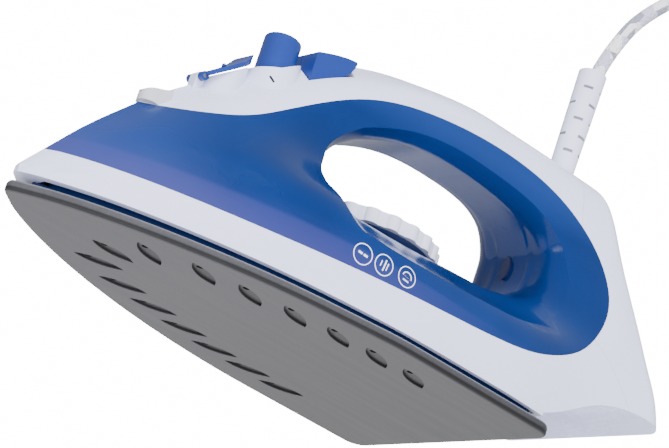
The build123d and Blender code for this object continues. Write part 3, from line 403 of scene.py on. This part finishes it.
@dataclass(frozen=True)
class TankPlastic(SeeThroughPlastic):
    """The tank's blue: paler at its bow, and lighter over the low band of its side with a painted
    reflection of the pale floor.
    """

    bow: Color = (0.042, 0.085, 0.36)
    bow_reach: tuple[float, float] = (62.0, 18.0)
    bow_share: float = 0.75
    # Painted reflection of the floor: the low band of the side is mixed towards this pale blue
    # between these heights, less so towards the heel.
    floor_reflection: Color = (0.075, 0.08, 0.36)
    floor_reflection_heights: tuple[float, float] = (19.0, 33.0)
    floor_reflection_shares: tuple[tuple[float, float], ...] = ((0.0, 0.72), (0.55, 0.5), (0.66, 0.12),
                                                    (1.0, 0.0))
    floor_reflection_fade: tuple[float, float] = (180.0, 120.0)
    floor_reflection_left: float = 0.25
    grip: Color = (0.014, 0.062, 0.30)
    grip_heights: tuple[float, float] = (88.0, 102.0)
    grip_share: float = 0.85

    def tint(self, nodes: Nodes) -> bpy.types.NodeSocket:
        """Colour of the tank along its length and up its side.

        Args:
            nodes: The material's nodes.

        Returns:
            The colour's socket.
        """
        bow_start, bow_end = (at(reach) for reach in self.bow_reach)
        fade_start, fade_end = (at(reach) for reach in self.floor_reflection_fade)
        along = nodes.place("X", bow_start, bow_end)
        up = nodes.place("Z", self.floor_reflection_heights[0] * MM, self.floor_reflection_heights[1] * MM)
        rear = nodes.place("X", fade_start, fade_end)
        high = nodes.place("Z", self.grip_heights[0] * MM, self.grip_heights[1] * MM)
        # Painted reflection: how far the low band of the side is turned towards the floor's pale
        # blue.
        floor_reflection_share = nodes.multiply(
            nodes.ramp(up, [(place, grey(share)) for place, share in self.floor_reflection_shares]),
            nodes.ramp(rear, [(0.0, grey(self.floor_reflection_left)), (1.0, grey(1))]))
        color = nodes.mix(nodes.spread(along, 0.0, self.bow_share), super().tint(nodes), self.bow)
        color = nodes.mix(floor_reflection_share, color, self.floor_reflection)
        return nodes.mix(nodes.spread(high, 0.0, self.grip_share), color, self.grip)


@dataclass(frozen=True)
class BareMetal:
    """Brushed, cast or drawn metal with fine lines along one axis."""

    name: str
    color: Color
    roughness: float = 0.34
    grain: tuple[float, float, float] = (40, 900, 900)
    contrast: float = 0.12
    line_strength: float = 0.12
    line_depth: float = 0.05 * MM

    def build(self) -> bpy.types.Material:
        """Make the material.

        Returns:
            The node material.
        """
        nodes = Nodes(self.name)
        lines = nodes.noise(nodes.coordinates(self.grain), 1.0, 4)
        tint = nodes.ramp(lines, [(0.3, shade(self.color, 1 - self.contrast)),
                                  (0.7, shade(self.color, 1 + self.contrast))])
        nodes.link(tint, nodes.shader.inputs["Base Color"])
        nodes.link(nodes.spread(lines, self.roughness * 0.75, self.roughness * 1.3),
                   nodes.shader.inputs["Roughness"])
        nodes.set(Metallic=1.0)
        nodes.bump(lines, self.line_strength, self.line_depth)
        return nodes.material


@dataclass(frozen=True)
class SoleCoating:
    """Grey glaze of the working face, with painted shade in the steam dimples and towards the
    heel, and a painted highlight along the rim.
    """

    name: str
    color: Color
    roughness: float = 0.38
    metallic: float = 0.3
    speck_scale: float = 900.0
    rub: tuple[float, float, float] = (14, 220, 220)
    pit_strength: float = 0.1
    pit_depth: float = 0.08 * MM
    casting: float = 5.0 * MM
    # Levels by height: dimple is painted shade in the steam dimples; flank and rim rise to a
    # painted highlight on the rounded rim.
    face: float = 1.04
    dimple: float = 0.312
    flank: float = 1.144
    rim: float = 2.6
    # Painted shade: between these distances back from the nose the glaze darkens to the level
    # far.
    fade: tuple[float, float] = (70.0, 205.0)
    far: float = 0.68

    def build(self) -> bpy.types.Material:
        """Make the material.

        Returns:
            The node material.
        """
        nodes = Nodes(self.name)
        fine = nodes.noise(nodes.coordinates(), self.speck_scale, 3)
        rubbed = nodes.noise(nodes.coordinates(self.rub), 1.0, 5)
        mixed = nodes.average(fine, rubbed)
        tint = nodes.ramp(mixed, [(0.35, shade(self.color, 0.9)),
                                  (0.65, shade(self.color, 1.12))])
        # Painted shade that darkens the glaze towards the heel.
        back = nodes.place("X", at(self.fade[0]), at(self.fade[1]))
        fade = nodes.ramp(back, [(0.0, grey(1)), (1.0, grey(self.far))])
        nodes.link(nodes.multiply(tint, self.painted_shade_and_highlight(nodes), fade),
                   nodes.shader.inputs["Base Color"])
        nodes.link(nodes.spread(rubbed, self.roughness * 0.8, self.roughness * 1.3),
                   nodes.shader.inputs["Roughness"])
        nodes.set(Metallic=self.metallic)
        nodes.bump(mixed, self.pit_strength, self.pit_depth)
        return nodes.material

    def painted_shade_and_highlight(self, nodes: Nodes) -> bpy.types.NodeSocket:
        """Painted shade and highlight by height, from the working face up to its rim: dark in the
        steam dimples, brightest on the rim.

        Args:
            nodes: The material's nodes.

        Returns:
            The socket of a grey that the colour is multiplied with.
        """
        up = nodes.place("Z", 0, self.casting)
        # Painted shade in the dimples, then a painted highlight up the rim's flank to its top.
        steps = [(0.0, self.face), (0.03, self.face), (0.08, self.dimple), (0.30, self.dimple),
                 (0.42, self.face), (0.70, self.flank), (0.82, self.rim)]
        return nodes.ramp(up, [(place, grey(level)) for place, level in steps])


@dataclass(frozen=True)
class BraidedCloth:
    """Textile braid of the cord, read from the tube's own UV map."""

    name: str
    ground: Color
    fleck: Color
    dark: Color
    strands: tuple[float, float] = (8.0, 300.0)
    strand_strength: float = 0.7
    strand_depth: float = 0.25 * MM
    patches: tuple[float, float] = (4.0, 170.0)
    roughness: float = 0.82
    sheen: float = 0.35
    sheen_roughness: float = 0.5

    def build(self) -> bpy.types.Material:
        """Make the material.

        Returns:
            The node material.
        """
        nodes = Nodes(self.name)
        split = nodes.add("ShaderNodeSeparateXYZ")
        nodes.link(self.wrapped(nodes, self.strands), split.inputs["Vector"])
        crossings = []
        for way in (1, -1):
            turn = nodes.work_out("MULTIPLY_ADD", split.outputs["X"], way, split.outputs["Y"])
            angle = nodes.work_out("MULTIPLY", turn, math.tau)
            crossings.append(nodes.work_out("SINE", angle))
        nodes.bump(nodes.work_out("MAXIMUM", *crossings), self.strand_strength,
                   self.strand_depth)
        nodes.link(self.flecks(nodes), nodes.shader.inputs["Base Color"])
        nodes.set(Roughness=self.roughness, Sheen_Weight=self.sheen,
                  Sheen_Roughness=self.sheen_roughness)
        return nodes.material

    def wrapped(self, nodes: Nodes, scale: tuple[float, float]) -> bpy.types.NodeSocket:
        """Places round and along the cord.

        Args:
            nodes: The material's nodes.
            scale: Factors round the cord and along it.

        Returns:
            The mapped vector's socket.
        """
        source = nodes.add("ShaderNodeUVMap", uv_map="UVMap")
        mapping = nodes.add("ShaderNodeMapping")
        mapping.inputs["Scale"].default_value = (*scale, 1)
        nodes.link(source.outputs["UV"], mapping.inputs["Vector"])
        return mapping.outputs["Vector"]

    def flecks(self, nodes: Nodes) -> bpy.types.NodeSocket:
        """Ground colour with scattered coloured and dark flecks.

        Args:
            nodes: The material's nodes.

        Returns:
            The colour's socket.
        """
        patch = nodes.add("ShaderNodeTexVoronoi", feature="F1")
        patch.inputs["Scale"].default_value = 1.0
        nodes.link(self.wrapped(nodes, self.patches), patch.inputs["Vector"])
        pick = nodes.add("ShaderNodeSeparateColor")
        nodes.link(patch.outputs["Color"], pick.inputs["Color"])
        stops = [(0.0, self.dark), (0.16, self.dark), (0.22, self.fleck), (0.46, self.fleck),
                 (0.54, self.ground), (1.0, self.ground)]
        return nodes.ramp(pick.outputs["Red"], [(place, shade(tone, 1)) for place, tone in stops])


class Finish(Enum):
    """Every finish of the iron, each built once."""

    WHITE = MouldedPlastic("white_plastic", (0.68, 0.705, 0.97), 0.26, 0.015, 0.05, 0.2)
    SOFT_WHITE = MouldedPlastic("white_soft_plastic", (0.71, 0.73, 0.97), 0.5, 0.02, 0.15)
    DIAL_WHITE = MouldedPlastic("white_dial", (0.69, 0.71, 0.92), 0.35, 0.015, 0.05)
    TANK = TankPlastic("blue_tank", (0.001, 0.040, 0.225), (0.001, 0.028, 0.165), 0.16, 0.45)
    INK = MouldedPlastic("white_print", (0.82, 0.84, 0.92), 0.45, 0.02, 0.02)
    DARK_INK = MouldedPlastic("dark_print", (0.012, 0.012, 0.02), 0.4, 0.1, 0.02)
    SLOT_SHADOW = MouldedPlastic("sleeve_shadow", (0.20, 0.20, 0.25), 0.7, 0.1, 0.1)
    TANK_FLOOR = SeeThroughPlastic("blue_tank_floor", (0.06, 0.09, 0.34), (0.04, 0.06, 0.28))
    CONTROL_BLUE = MouldedPlastic("blue_controls", (0.011, 0.034, 0.20), 0.34, 0.05, 0.06)
    NAVY = MouldedPlastic("navy_plastic", (0.003, 0.014, 0.075), 0.32, 0.06, 0.08)
    MILKY = SeeThroughPlastic("milky_nozzle", (0.80, 0.83, 0.90), (0.66, 0.70, 0.82),
                              0.2, 0.35)
    SOLE = SoleCoating("grey_sole", (0.068, 0.068, 0.077))
    STEEL = BareMetal("bright_steel", (0.60, 0.60, 0.62))
    SHEATH = BareMetal("element_sheath", (0.32, 0.31, 0.30), 0.5)
    PLATED = BareMetal("plated_pins", (0.72, 0.70, 0.62), 0.2)
    LENS = SeeThroughPlastic("smoked_lens", (0.035, 0.06, 0.20), (0.015, 0.02, 0.08), 0.12, 0.4)
    NEON = SeeThroughPlastic("neon_lamp", (0.9, 0.55, 0.35), (0.8, 0.4, 0.25), 0.1, 0.7)
    SILICONE = MouldedPlastic("silicone", (0.70, 0.69, 0.66), 0.55, 0.04, 0.1)
    NYLON = MouldedPlastic("natural_nylon", (0.66, 0.65, 0.60), 0.5, 0.04, 0.1)
    RED_RUBBER = MouldedPlastic("valve_rubber", (0.32, 0.08, 0.05), 0.6, 0.05, 0.1)
    COPPER_LEAD = MouldedPlastic("lead_insulation", (0.20, 0.10, 0.05), 0.45, 0.05, 0.1)
    FLOOR = PaleFloor("pale_floor", (0.86, 0.86, 0.88), 0.75)
    BRAID = BraidedCloth("cord_braid", (0.80, 0.80, 0.86), (0.50, 0.49, 0.68),
                         (0.24, 0.25, 0.34))

    def material(self) -> bpy.types.Material:
        """The finish's material, made on first use.

        Returns:
            The node material.
        """
        found = bpy.data.materials.get(self.value.name)
        return found or self.value.build()


# ---------------------------------------------------------------- sub-assemblies


class SubAssembly:
    """CAD nodes that go together on the iron, each with its own finish."""

    finishes: dict[str, Finish] = {}

    def build(self) -> None:
        """Dress the nodes."""
        self.dress()

    def dress(self) -> None:
        """Give each of the nodes its finish."""
        for name, finish in self.finishes.items():
            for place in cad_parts[name].material_slots:
                place.material = finish.material()
            LOG.info("%s: %s in %s", type(self).__name__, name, finish.value.name)


class HeatedSole(SubAssembly):
    """Soleplate, steam chamber and what heats and guards them."""

    finishes = {
        "soleplate": Finish.SOLE, "heating_element": Finish.SHEATH,
        "steam_chamber_cover": Finish.STEEL, "cover_screws": Finish.STEEL,
        "sole_screws": Finish.STEEL, "thermostat": Finish.STEEL, "thermal_fuse": Finish.NYLON,
        "heat_skirt": Finish.NAVY}


class Housing(SubAssembly):
    """Tank, covers and base band."""

    finishes = {
        "tank_floor": Finish.TANK_FLOOR, "lower_housing": Finish.WHITE,
        "water_tank": Finish.TANK, "handle_cover": Finish.WHITE, "rear_cover": Finish.WHITE,
        "rear_cover_screws": Finish.STEEL}


class WaterWays(SubAssembly):
    """Filling hole, nozzle, pumps and steam valve."""

    finishes = {
        "fill_funnel": Finish.SOFT_WHITE, "fill_door": Finish.CONTROL_BLUE,
        "door_pin": Finish.STEEL, "spray_nozzle": Finish.MILKY, "spray_hose": Finish.SILICONE,
        "burst_tube": Finish.SILICONE, "intake_tubes": Finish.SOFT_WHITE,
        "spray_pump": Finish.SOFT_WHITE, "burst_pump": Finish.SOFT_WHITE,
        "spray_spring": Finish.STEEL, "burst_spring": Finish.STEEL,
        "spray_plunger": Finish.SOFT_WHITE, "burst_plunger": Finish.SOFT_WHITE,
        "valve_seat": Finish.RED_RUBBER, "steam_valve_rod": Finish.SOFT_WHITE,
        "valve_spring": Finish.STEEL}


class Controls(SubAssembly):
    """Knob, buttons, temperature dial and pilot light."""

    finishes = {
        "dial_collar": Finish.NAVY, "pilot_lens": Finish.LENS, "pilot_lamp": Finish.NEON,
        "steam_knob": Finish.CONTROL_BLUE, "spray_button": Finish.CONTROL_BLUE,
        "burst_button": Finish.CONTROL_BLUE, "temperature_dial": Finish.DIAL_WHITE,
        "thermostat_shaft": Finish.STEEL}


class MainsEntry(SubAssembly):
    """Terminals, wires and the rigid ends of the cord."""

    finishes = {
        "terminal_block": Finish.NYLON, "cord_clamp": Finish.NYLON,
        "clamp_screws": Finish.STEEL, "lead_wires": Finish.COPPER_LEAD,
        "heater_leads": Finish.SILICONE, "cord_sleeve": Finish.SOFT_WHITE,
        "cord_tail": Finish.SOFT_WHITE, "plug_body": Finish.SOFT_WHITE,
        "plug_pins": Finish.PLATED}


# ---------------------------------------------------------------- cord


@dataclass
class Cord:
    """The braided mains cord, from the relief to its coil behind the heel."""

    radius: float = 3.0 * MM
    sides: int = 18
    coil_x: float = 296.0
    coil_radius: float = 34.0
    coil_turns: float = 6.25
    turn_points: int = 14
    lane_change: float = 0.2
    lanes: tuple[tuple[float, float], ...] = (
        (-6.0, 8.3), (0.0, 8.3), (6.0, 8.3), (9.0, 3.05), (3.0, 3.05), (-3.0, 3.05),
        (-9.0, 3.05), (-9.0, 3.05))
    route: list[tuple[float, float, float]] = field(default_factory=lambda: [
        (228.2, 0, 150), (229.6, 0, 163), (234.2, 0, 180), (245.3, 0, 204),
        (277.3, 0, 236.8), (322, -8, 222), (344, -20, 160), (350, -30, 105),
        (346, -34, 52), (330, -34, 20)])

    def control_points(self) -> list[tuple[float, float, float]]:
        """The spline's control points, free route first and then the coil's turns.

        Returns:
            Points in metres in the row frame.
        """
        points = [(at(x), y * MM, z * MM) for x, y, z in self.route]
        for step in range(int(self.turn_points * self.coil_turns) + 1):
            turn = step / self.turn_points
            lane, layer = self.lane(turn)
            angle = -math.pi / 2 - math.tau * turn
            reach = (self.coil_radius + lane) * MM / math.cos(math.pi / self.turn_points)
            points.append((at(self.coil_x) + reach * math.cos(angle), reach * math.sin(angle),
                           layer * MM))
        return points

    def lane(self, turn: float) -> tuple[float, float]:
        """Where a turn lies across the coil's section.

        Args:
            turn: The number of turns wound so far.

        Returns:
            Offset from the middle radius and height of the cord's centre, in millimetres.
        """
        index = min(int(turn), len(self.lanes) - 2)
        late = turn - index - (1 - self.lane_change)
        share = max(0.0, min(1.0, late / self.lane_change))
        (a, low), (b, high) = self.lanes[index], self.lanes[index + 1]
        return a + (b - a) * share, low + (high - low) * share

    def build(self) -> None:
        path = self.path()
        cord = self.tube("power_cord_braid", path)
        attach(cord, "body")
        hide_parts("power_cord", "cord_coil")

    def path(self) -> list[Vector]:
        """The cord's centre line, close enough together for its tube.

        Returns:
            Points in metres in the row frame.
        """
        curve = bpy.data.curves.new("cord_line", "CURVE")
        curve.dimensions = "3D"
        spline = curve.splines.new("NURBS")
        points = self.control_points()
        spline.points.add(len(points) - 1)
        for point, place in zip(spline.points, points):
            point.co = (*place, 1.0)
        spline.order_u = 3
        spline.use_endpoint_u = True
        curve.resolution_u = 6
        holder = bpy.data.objects.new("cord_line", curve)
        bpy.context.collection.objects.link(holder)
        line = bpy.data.meshes.new_from_object(holder)
        bpy.data.objects.remove(holder)
        return [vertex.co.copy() for vertex in line.vertices]

    def tube(self, name: str, path: list[Vector]) -> bpy.types.Object:
        """A closed tube round a path, with a UV map that runs along it.

        Args:
            name: The object's name.
            path: The centre line's points.

        Returns:
            The tube's object.
        """
        shape = bmesh.new()
        uv = shape.loops.layers.uv.new("UVMap")
        normal = Vector((0, 1, 0))
        rings: list[list[bmesh.types.BMVert]] = []
        travelled = [0.0]
        for i, here in enumerate(path):
            ahead = path[min(i + 1, len(path) - 1)] - path[max(i - 1, 0)]
            ahead.normalize()
            normal = (normal - ahead * normal.dot(ahead)).normalized()
            side = ahead.cross(normal)
            turn = Matrix((normal, side, ahead)).transposed().to_4x4()
            turn.translation = here
            made = bmesh.ops.create_circle(shape, segments=self.sides, radius=self.radius,
                                           matrix=turn)
            rings.append(made["verts"])
            if i:
                travelled.append(travelled[-1] + (here - path[i - 1]).length)
        for i, (ring, after) in enumerate(zip(rings, rings[1:])):
            for k in range(self.sides):
                n = (k + 1) % self.sides
                face = shape.faces.new((ring[k], ring[n], after[n], after[k]))
                face.smooth = True
                spots = ((k, i), (k + 1, i), (k + 1, i + 1), (k, i + 1))
                for loop, (across, along) in zip(face.loops, spots):
                    loop[uv].uv = (across / self.sides, travelled[along])
        shape.faces.new(list(reversed(rings[0])))
        shape.faces.new(rings[-1])
        bmesh.ops.recalc_face_normals(shape, faces=shape.faces[:])
        return finish_mesh(shape, name, Finish.BRAID)


def finish_mesh(shape: bmesh.types.BMesh, name: str, finish: Finish) -> bpy.types.Object:
    """Turn a bmesh into a linked object with a finish.

    Args:
        shape: The bmesh, which is freed.
        name: The object's name.
        finish: Its finish.

    Returns:
        The new object.
    """
    mesh = bpy.data.meshes.new(name)
    shape.to_mesh(mesh)
    shape.free()
    mesh.materials.append(finish.material())
    piece = bpy.data.objects.new(name, mesh)
    bpy.context.collection.objects.link(piece)
    LOG.info("piece %s: %d faces", name, len(mesh.polygons))
    return piece


# ---------------------------------------------------------------- prints and inlays


RING_STEPS = 56
DOUBLES = 0.0001 * MM


def spot(place: Place) -> Vector:
    """A place given back from the nose, across and up in millimetres, in metres."""
    return Vector((at(place[0]), place[1] * MM, place[2] * MM))


def nearest(node: str, place: Vector) -> tuple[Vector, Vector]:
    """The point of a CAD node's surface nearest to a place, and the way the surface faces.

    Args:
        node: The CAD node's name.
        place: A place in metres.

    Returns:
        The point and its outward normal.
    """
    found, point, normal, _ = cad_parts[node].closest_point_on_mesh(place)
    if not found:
        raise ValueError(f"no surface of {node} near {place}")
    return point, normal


def lay_on(shape: bmesh.types.BMesh, node: str, place: Vector, turn: float) -> None:
    """Lay a flat print, made in the XY plane, on a CAD node's curved side.

    Args:
        shape: The print, centred on the origin, its thickness along Z.
        node: The CAD node's name.
        place: A place near the print's middle, in metres.
        turn: How far the print is turned on the surface, in degrees.
    """
    middle, out = nearest(node, place)
    up = (Vector((0, 0, 1)) - out * out.z).normalized()
    level = Matrix((up.cross(out), up, out)).transposed()
    level = level @ Matrix.Rotation(math.radians(turn), 3, "Z")
    for vertex in shape.verts:
        thickness = vertex.co.z
        flat = middle + level @ Vector((vertex.co.x, vertex.co.y, 0))
        point, normal = nearest(node, flat)
        vertex.co = point + normal * thickness


def bar(shape: bmesh.types.BMesh, size: tuple[float, float], middle: tuple[float, float],
        thickness: float) -> None:
    """Add a thin printed bar in the XY plane.

    Args:
        shape: The mesh that gets it.
        size: Its width and height in millimetres.
        middle: Its centre in millimetres.
        thickness: Its thickness in metres, from zero upwards.
    """
    place = Matrix.Translation((middle[0] * MM, middle[1] * MM, thickness / 2))
    place @= Matrix.Diagonal((size[0] * MM, size[1] * MM, thickness, 1))
    made = bmesh.ops.create_cube(shape, size=1, matrix=place)
    edges = list({edge for vertex in made["verts"] for edge in vertex.link_edges})
    bmesh.ops.subdivide_edges(shape, edges=edges, cuts=2, use_grid_fill=True)


def ring(shape: bmesh.types.BMesh, radius: float, line: float, thickness: float,
         angle: float = math.tau, middle: tuple[float, float] = (0, 0)) -> None:
    """Add a thin printed ring, or a part of one, in the XY plane.

    Args:
        shape: The mesh that gets it.
        radius: To the middle of its line, in metres as all its sizes.
        line: The line's width.
        thickness: Its thickness, from zero upwards.
        angle: How far round it goes, from +X.
        middle: Its centre in metres.
    """
    place = Matrix.Translation((middle[0] + radius, middle[1], thickness / 2))
    place @= Matrix.Diagonal((line, 1, thickness, 1)) @ Matrix.Rotation(math.pi / 2, 4, "X")
    made = bmesh.ops.create_grid(shape, x_segments=1, y_segments=1, size=0.5, matrix=place)
    loop = list({face for vertex in made["verts"] for face in vertex.link_faces})
    bmesh.ops.spin(shape, geom=loop + list(made["verts"]), cent=(*middle, 0), axis=(0, 0, 1),
                   angle=angle, steps=round(RING_STEPS * angle / math.tau), use_merge=True)
    bmesh.ops.remove_doubles(shape, verts=shape.verts[:], dist=DOUBLES)


def settle(piece: bpy.types.Object) -> None:
    """Let a finished piece ride on the main body."""
    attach(piece, "body")


@dataclass
class SideMarks:
    """Three ringed signs with plain generic contents on the tank's left side."""

    radius: float = 3.75 * MM
    line: float = 0.34 * MM
    thickness: float = 0.05 * MM
    turn: float = -8.0
    places: tuple[Place, ...] = ((112.1, -48.5, 26.1), (121.1, -49.7, 26.1), (131.5, -50.5, 26.4))
    dash: tuple[float, float] = (1.7, 0.8)
    dash_offset: float = 1.15
    posts: tuple[tuple[float, float, float], ...] = (
        (0.55, 4.2, 0.3), (0.4, 2.2, -1.3), (0.4, 2.8, 1.5))
    bow: tuple[float, float, float] = (2.0, 0.4, -0.3)
    sill: tuple[float, float, float] = (2.6, 0.5, -1.5)

    def build(self) -> None:
        """Make the three signs, one piece each."""
        contents = (self.dashes, self.uprights, self.arch)
        for number, (place, content) in enumerate(zip(self.places, contents), 1):
            shape = bmesh.new()
            ring(shape, self.radius, self.line, self.thickness)
            content(shape)
            bmesh.ops.recalc_face_normals(shape, faces=shape.faces[:])
            lay_on(shape, "water_tank", spot(place), self.turn)
            settle(finish_mesh(shape, f"side_mark_{number}", Finish.INK))

    def dashes(self, shape: bmesh.types.BMesh) -> None:
        """Two short bars side by side."""
        for across in (-self.dash_offset, self.dash_offset):
            bar(shape, self.dash, (across, 0), self.thickness)

    def uprights(self, shape: bmesh.types.BMesh) -> None:
        """Three upright bars of unlike heights."""
        for width, height, across in self.posts:
            bar(shape, (width, height), (across, 0), self.thickness)

    def arch(self, shape: bmesh.types.BMesh) -> None:
        """An arch over a bar."""
        radius, line, up = self.bow
        ring(shape, radius * MM, line * MM, self.thickness, math.pi, (0, up * MM))
        width, height, down = self.sill
        bar(shape, (width, height), (0, down), self.thickness)


@dataclass
class KnobMark:
    """The dark pointer mark on the white cover under the steam knob."""

    place: Place = (79.1, -9.6, 83.0)
    size: tuple[float, float] = (2.9, 0.85)
    thickness: float = 0.06 * MM
    turn: float = -42.0

    def build(self) -> None:
        """Make the mark."""
        shape = bmesh.new()
        bar(shape, self.size, (0, 0), self.thickness)
        lay_on(shape, "handle_cover", spot(self.place), self.turn)
        settle(finish_mesh(shape, "knob_mark", Finish.DARK_INK))


@dataclass
class SleeveSlots:
    """The shadowed bottoms of the cord relief's flexing slots."""

    foot: Place = (227.0, 0.0, 122.0)
    lean: float = 2.5
    first: float = 8.0
    pitch: float = 7.2
    rows: int = 5
    angles: tuple[int, ...] = (-50, 50, 130, 230)
    stagger: float = 45.0
    reach: float = 4.83
    slot: tuple[float, float, float] = (0.3, 3.8, 1.2)

    def build(self) -> None:
        """Make one inlay for every slot, all in one piece."""
        shape = bmesh.new()
        axis = Matrix.Translation(spot(self.foot))
        axis @= Matrix.Rotation(math.radians(self.lean), 4, "Y")
        size = Matrix.Diagonal((*(side * MM for side in self.slot), 1))
        for row in range(self.rows):
            for angle in self.angles:
                place = axis @ Matrix.Translation((0, 0, (self.first + self.pitch * row) * MM))
                turned = math.radians(angle + self.stagger * (row % 2))
                place @= Matrix.Rotation(turned, 4, "Z")
                place @= Matrix.Translation((self.reach * MM, 0, 0))
                bmesh.ops.create_cube(shape, size=1, matrix=place @ size)
        settle(finish_mesh(shape, "sleeve_slots", Finish.SLOT_SHADOW))


# ---------------------------------------------------------------- studio


@dataclass(frozen=True)
class Lamp:
    """A soft square light: where it stands, its side in metres and its power in watts."""

    name: str
    place: Place
    size: float
    power: float
    shines: bool = False

    def build(self, target: Vector) -> None:
        """Add the light, mirrored in what is glossy only if it shines.

        Args:
            target: What it is aimed at.
        """
        lamp = bpy.data.lights.new(self.name, "AREA")
        lamp.size = self.size
        lamp.energy = self.power
        holder = bpy.data.objects.new(self.name, lamp)
        bpy.context.collection.objects.link(holder)
        holder.location = self.place
        holder.visible_glossy = self.shines
        holder.visible_transmission = self.shines
        aim = target - Vector(self.place)
        holder.rotation_euler = aim.to_track_quat("-Z", "Y").to_euler()


@dataclass
class Studio:
    """Camera, lights and pale surroundings."""

    eye: Place = (-0.48416, -0.72336, -0.27453)
    right: Place = (0.71743, -0.63462, 0.28730)
    down: Place = (0.44016, 0.09330, -0.89306)
    forward: Place = (0.53995, 0.76717, 0.34627)
    lens: float = 139.2
    sensor: float = 36.0
    sight: float = 50.0
    target: Place = (0.02, 0.0, 0.06)
    floor: float = -3.0
    floor_size: float = 14.0
    surround: float = 0.55
    backdrop_glow: float = 16.0
    lamps: tuple[Lamp, ...] = (
        Lamp("key", (-0.5, -1.2, 1.5), 1.0, 70),
        Lamp("fill", (-0.8, -1.5, -0.5), 1.4, 46),
        Lamp("rim", (0.9, 1.3, 1.0), 1.2, 62),
        Lamp("glint", (-1.3, -0.5, 0.15), 0.35, 1.5, True))

    def build(self) -> None:
        """Place the camera, the lights and the floor."""
        self.camera()
        for lamp in self.lamps:
            lamp.build(Vector(self.target))
        self.world()
        self.backdrop()

    def camera(self) -> None:
        """Set up the camera."""
        camera = bpy.data.cameras.new("camera")
        camera.lens = self.lens
        camera.sensor_width = self.sensor
        camera.clip_end = self.sight
        holder = bpy.data.objects.new("camera", camera)
        bpy.context.collection.objects.link(holder)
        turn = Matrix((self.right, tuple(-v for v in self.down),
                       tuple(-v for v in self.forward))).transposed()
        holder.matrix_world = Matrix.Translation(self.eye) @ turn.to_4x4()
        bpy.context.scene.camera = holder

    def world(self) -> None:
        """White surroundings: soft as a light, and burnt out white where they are seen."""
        world = bpy.data.worlds.new("studio")
        world.use_nodes = True
        tree = world.node_tree
        soft = tree.nodes["Background"]
        seen = tree.nodes.new("ShaderNodeBackground")
        for node, strength in ((soft, self.surround), (seen, self.backdrop_glow)):
            node.inputs["Color"].default_value = grey(1)
            node.inputs["Strength"].default_value = strength
        rays = tree.nodes.new("ShaderNodeLightPath")
        choice = tree.nodes.new("ShaderNodeMixShader")
        tree.links.new(rays.outputs["Is Camera Ray"], choice.inputs[0])
        tree.links.new(soft.outputs[0], choice.inputs[1])
        tree.links.new(seen.outputs[0], choice.inputs[2])
        tree.links.new(choice.outputs[0], tree.nodes["World Output"].inputs["Surface"])
        bpy.context.scene.world = world

    def backdrop(self) -> None:
        """A pale floor well below the iron."""
        shape = bmesh.new()
        bmesh.ops.create_grid(shape, x_segments=8, y_segments=8, size=self.floor_size,
                              matrix=Matrix.Translation((0, 0, self.floor)))
        floor = finish_mesh(shape, "studio_floor", Finish.FLOOR)


def main() -> None:
    """Build every sub-assembly in order."""
    logging.basicConfig(level=logging.INFO, format="%(name)s: %(message)s")
    for make in (Studio, Cord, HeatedSole, Housing, WaterWays, Controls, MainsEntry, SideMarks,
                 KnobMark, SleeveSlots):
        make().build()


if __name__ == "__main__":
    main()
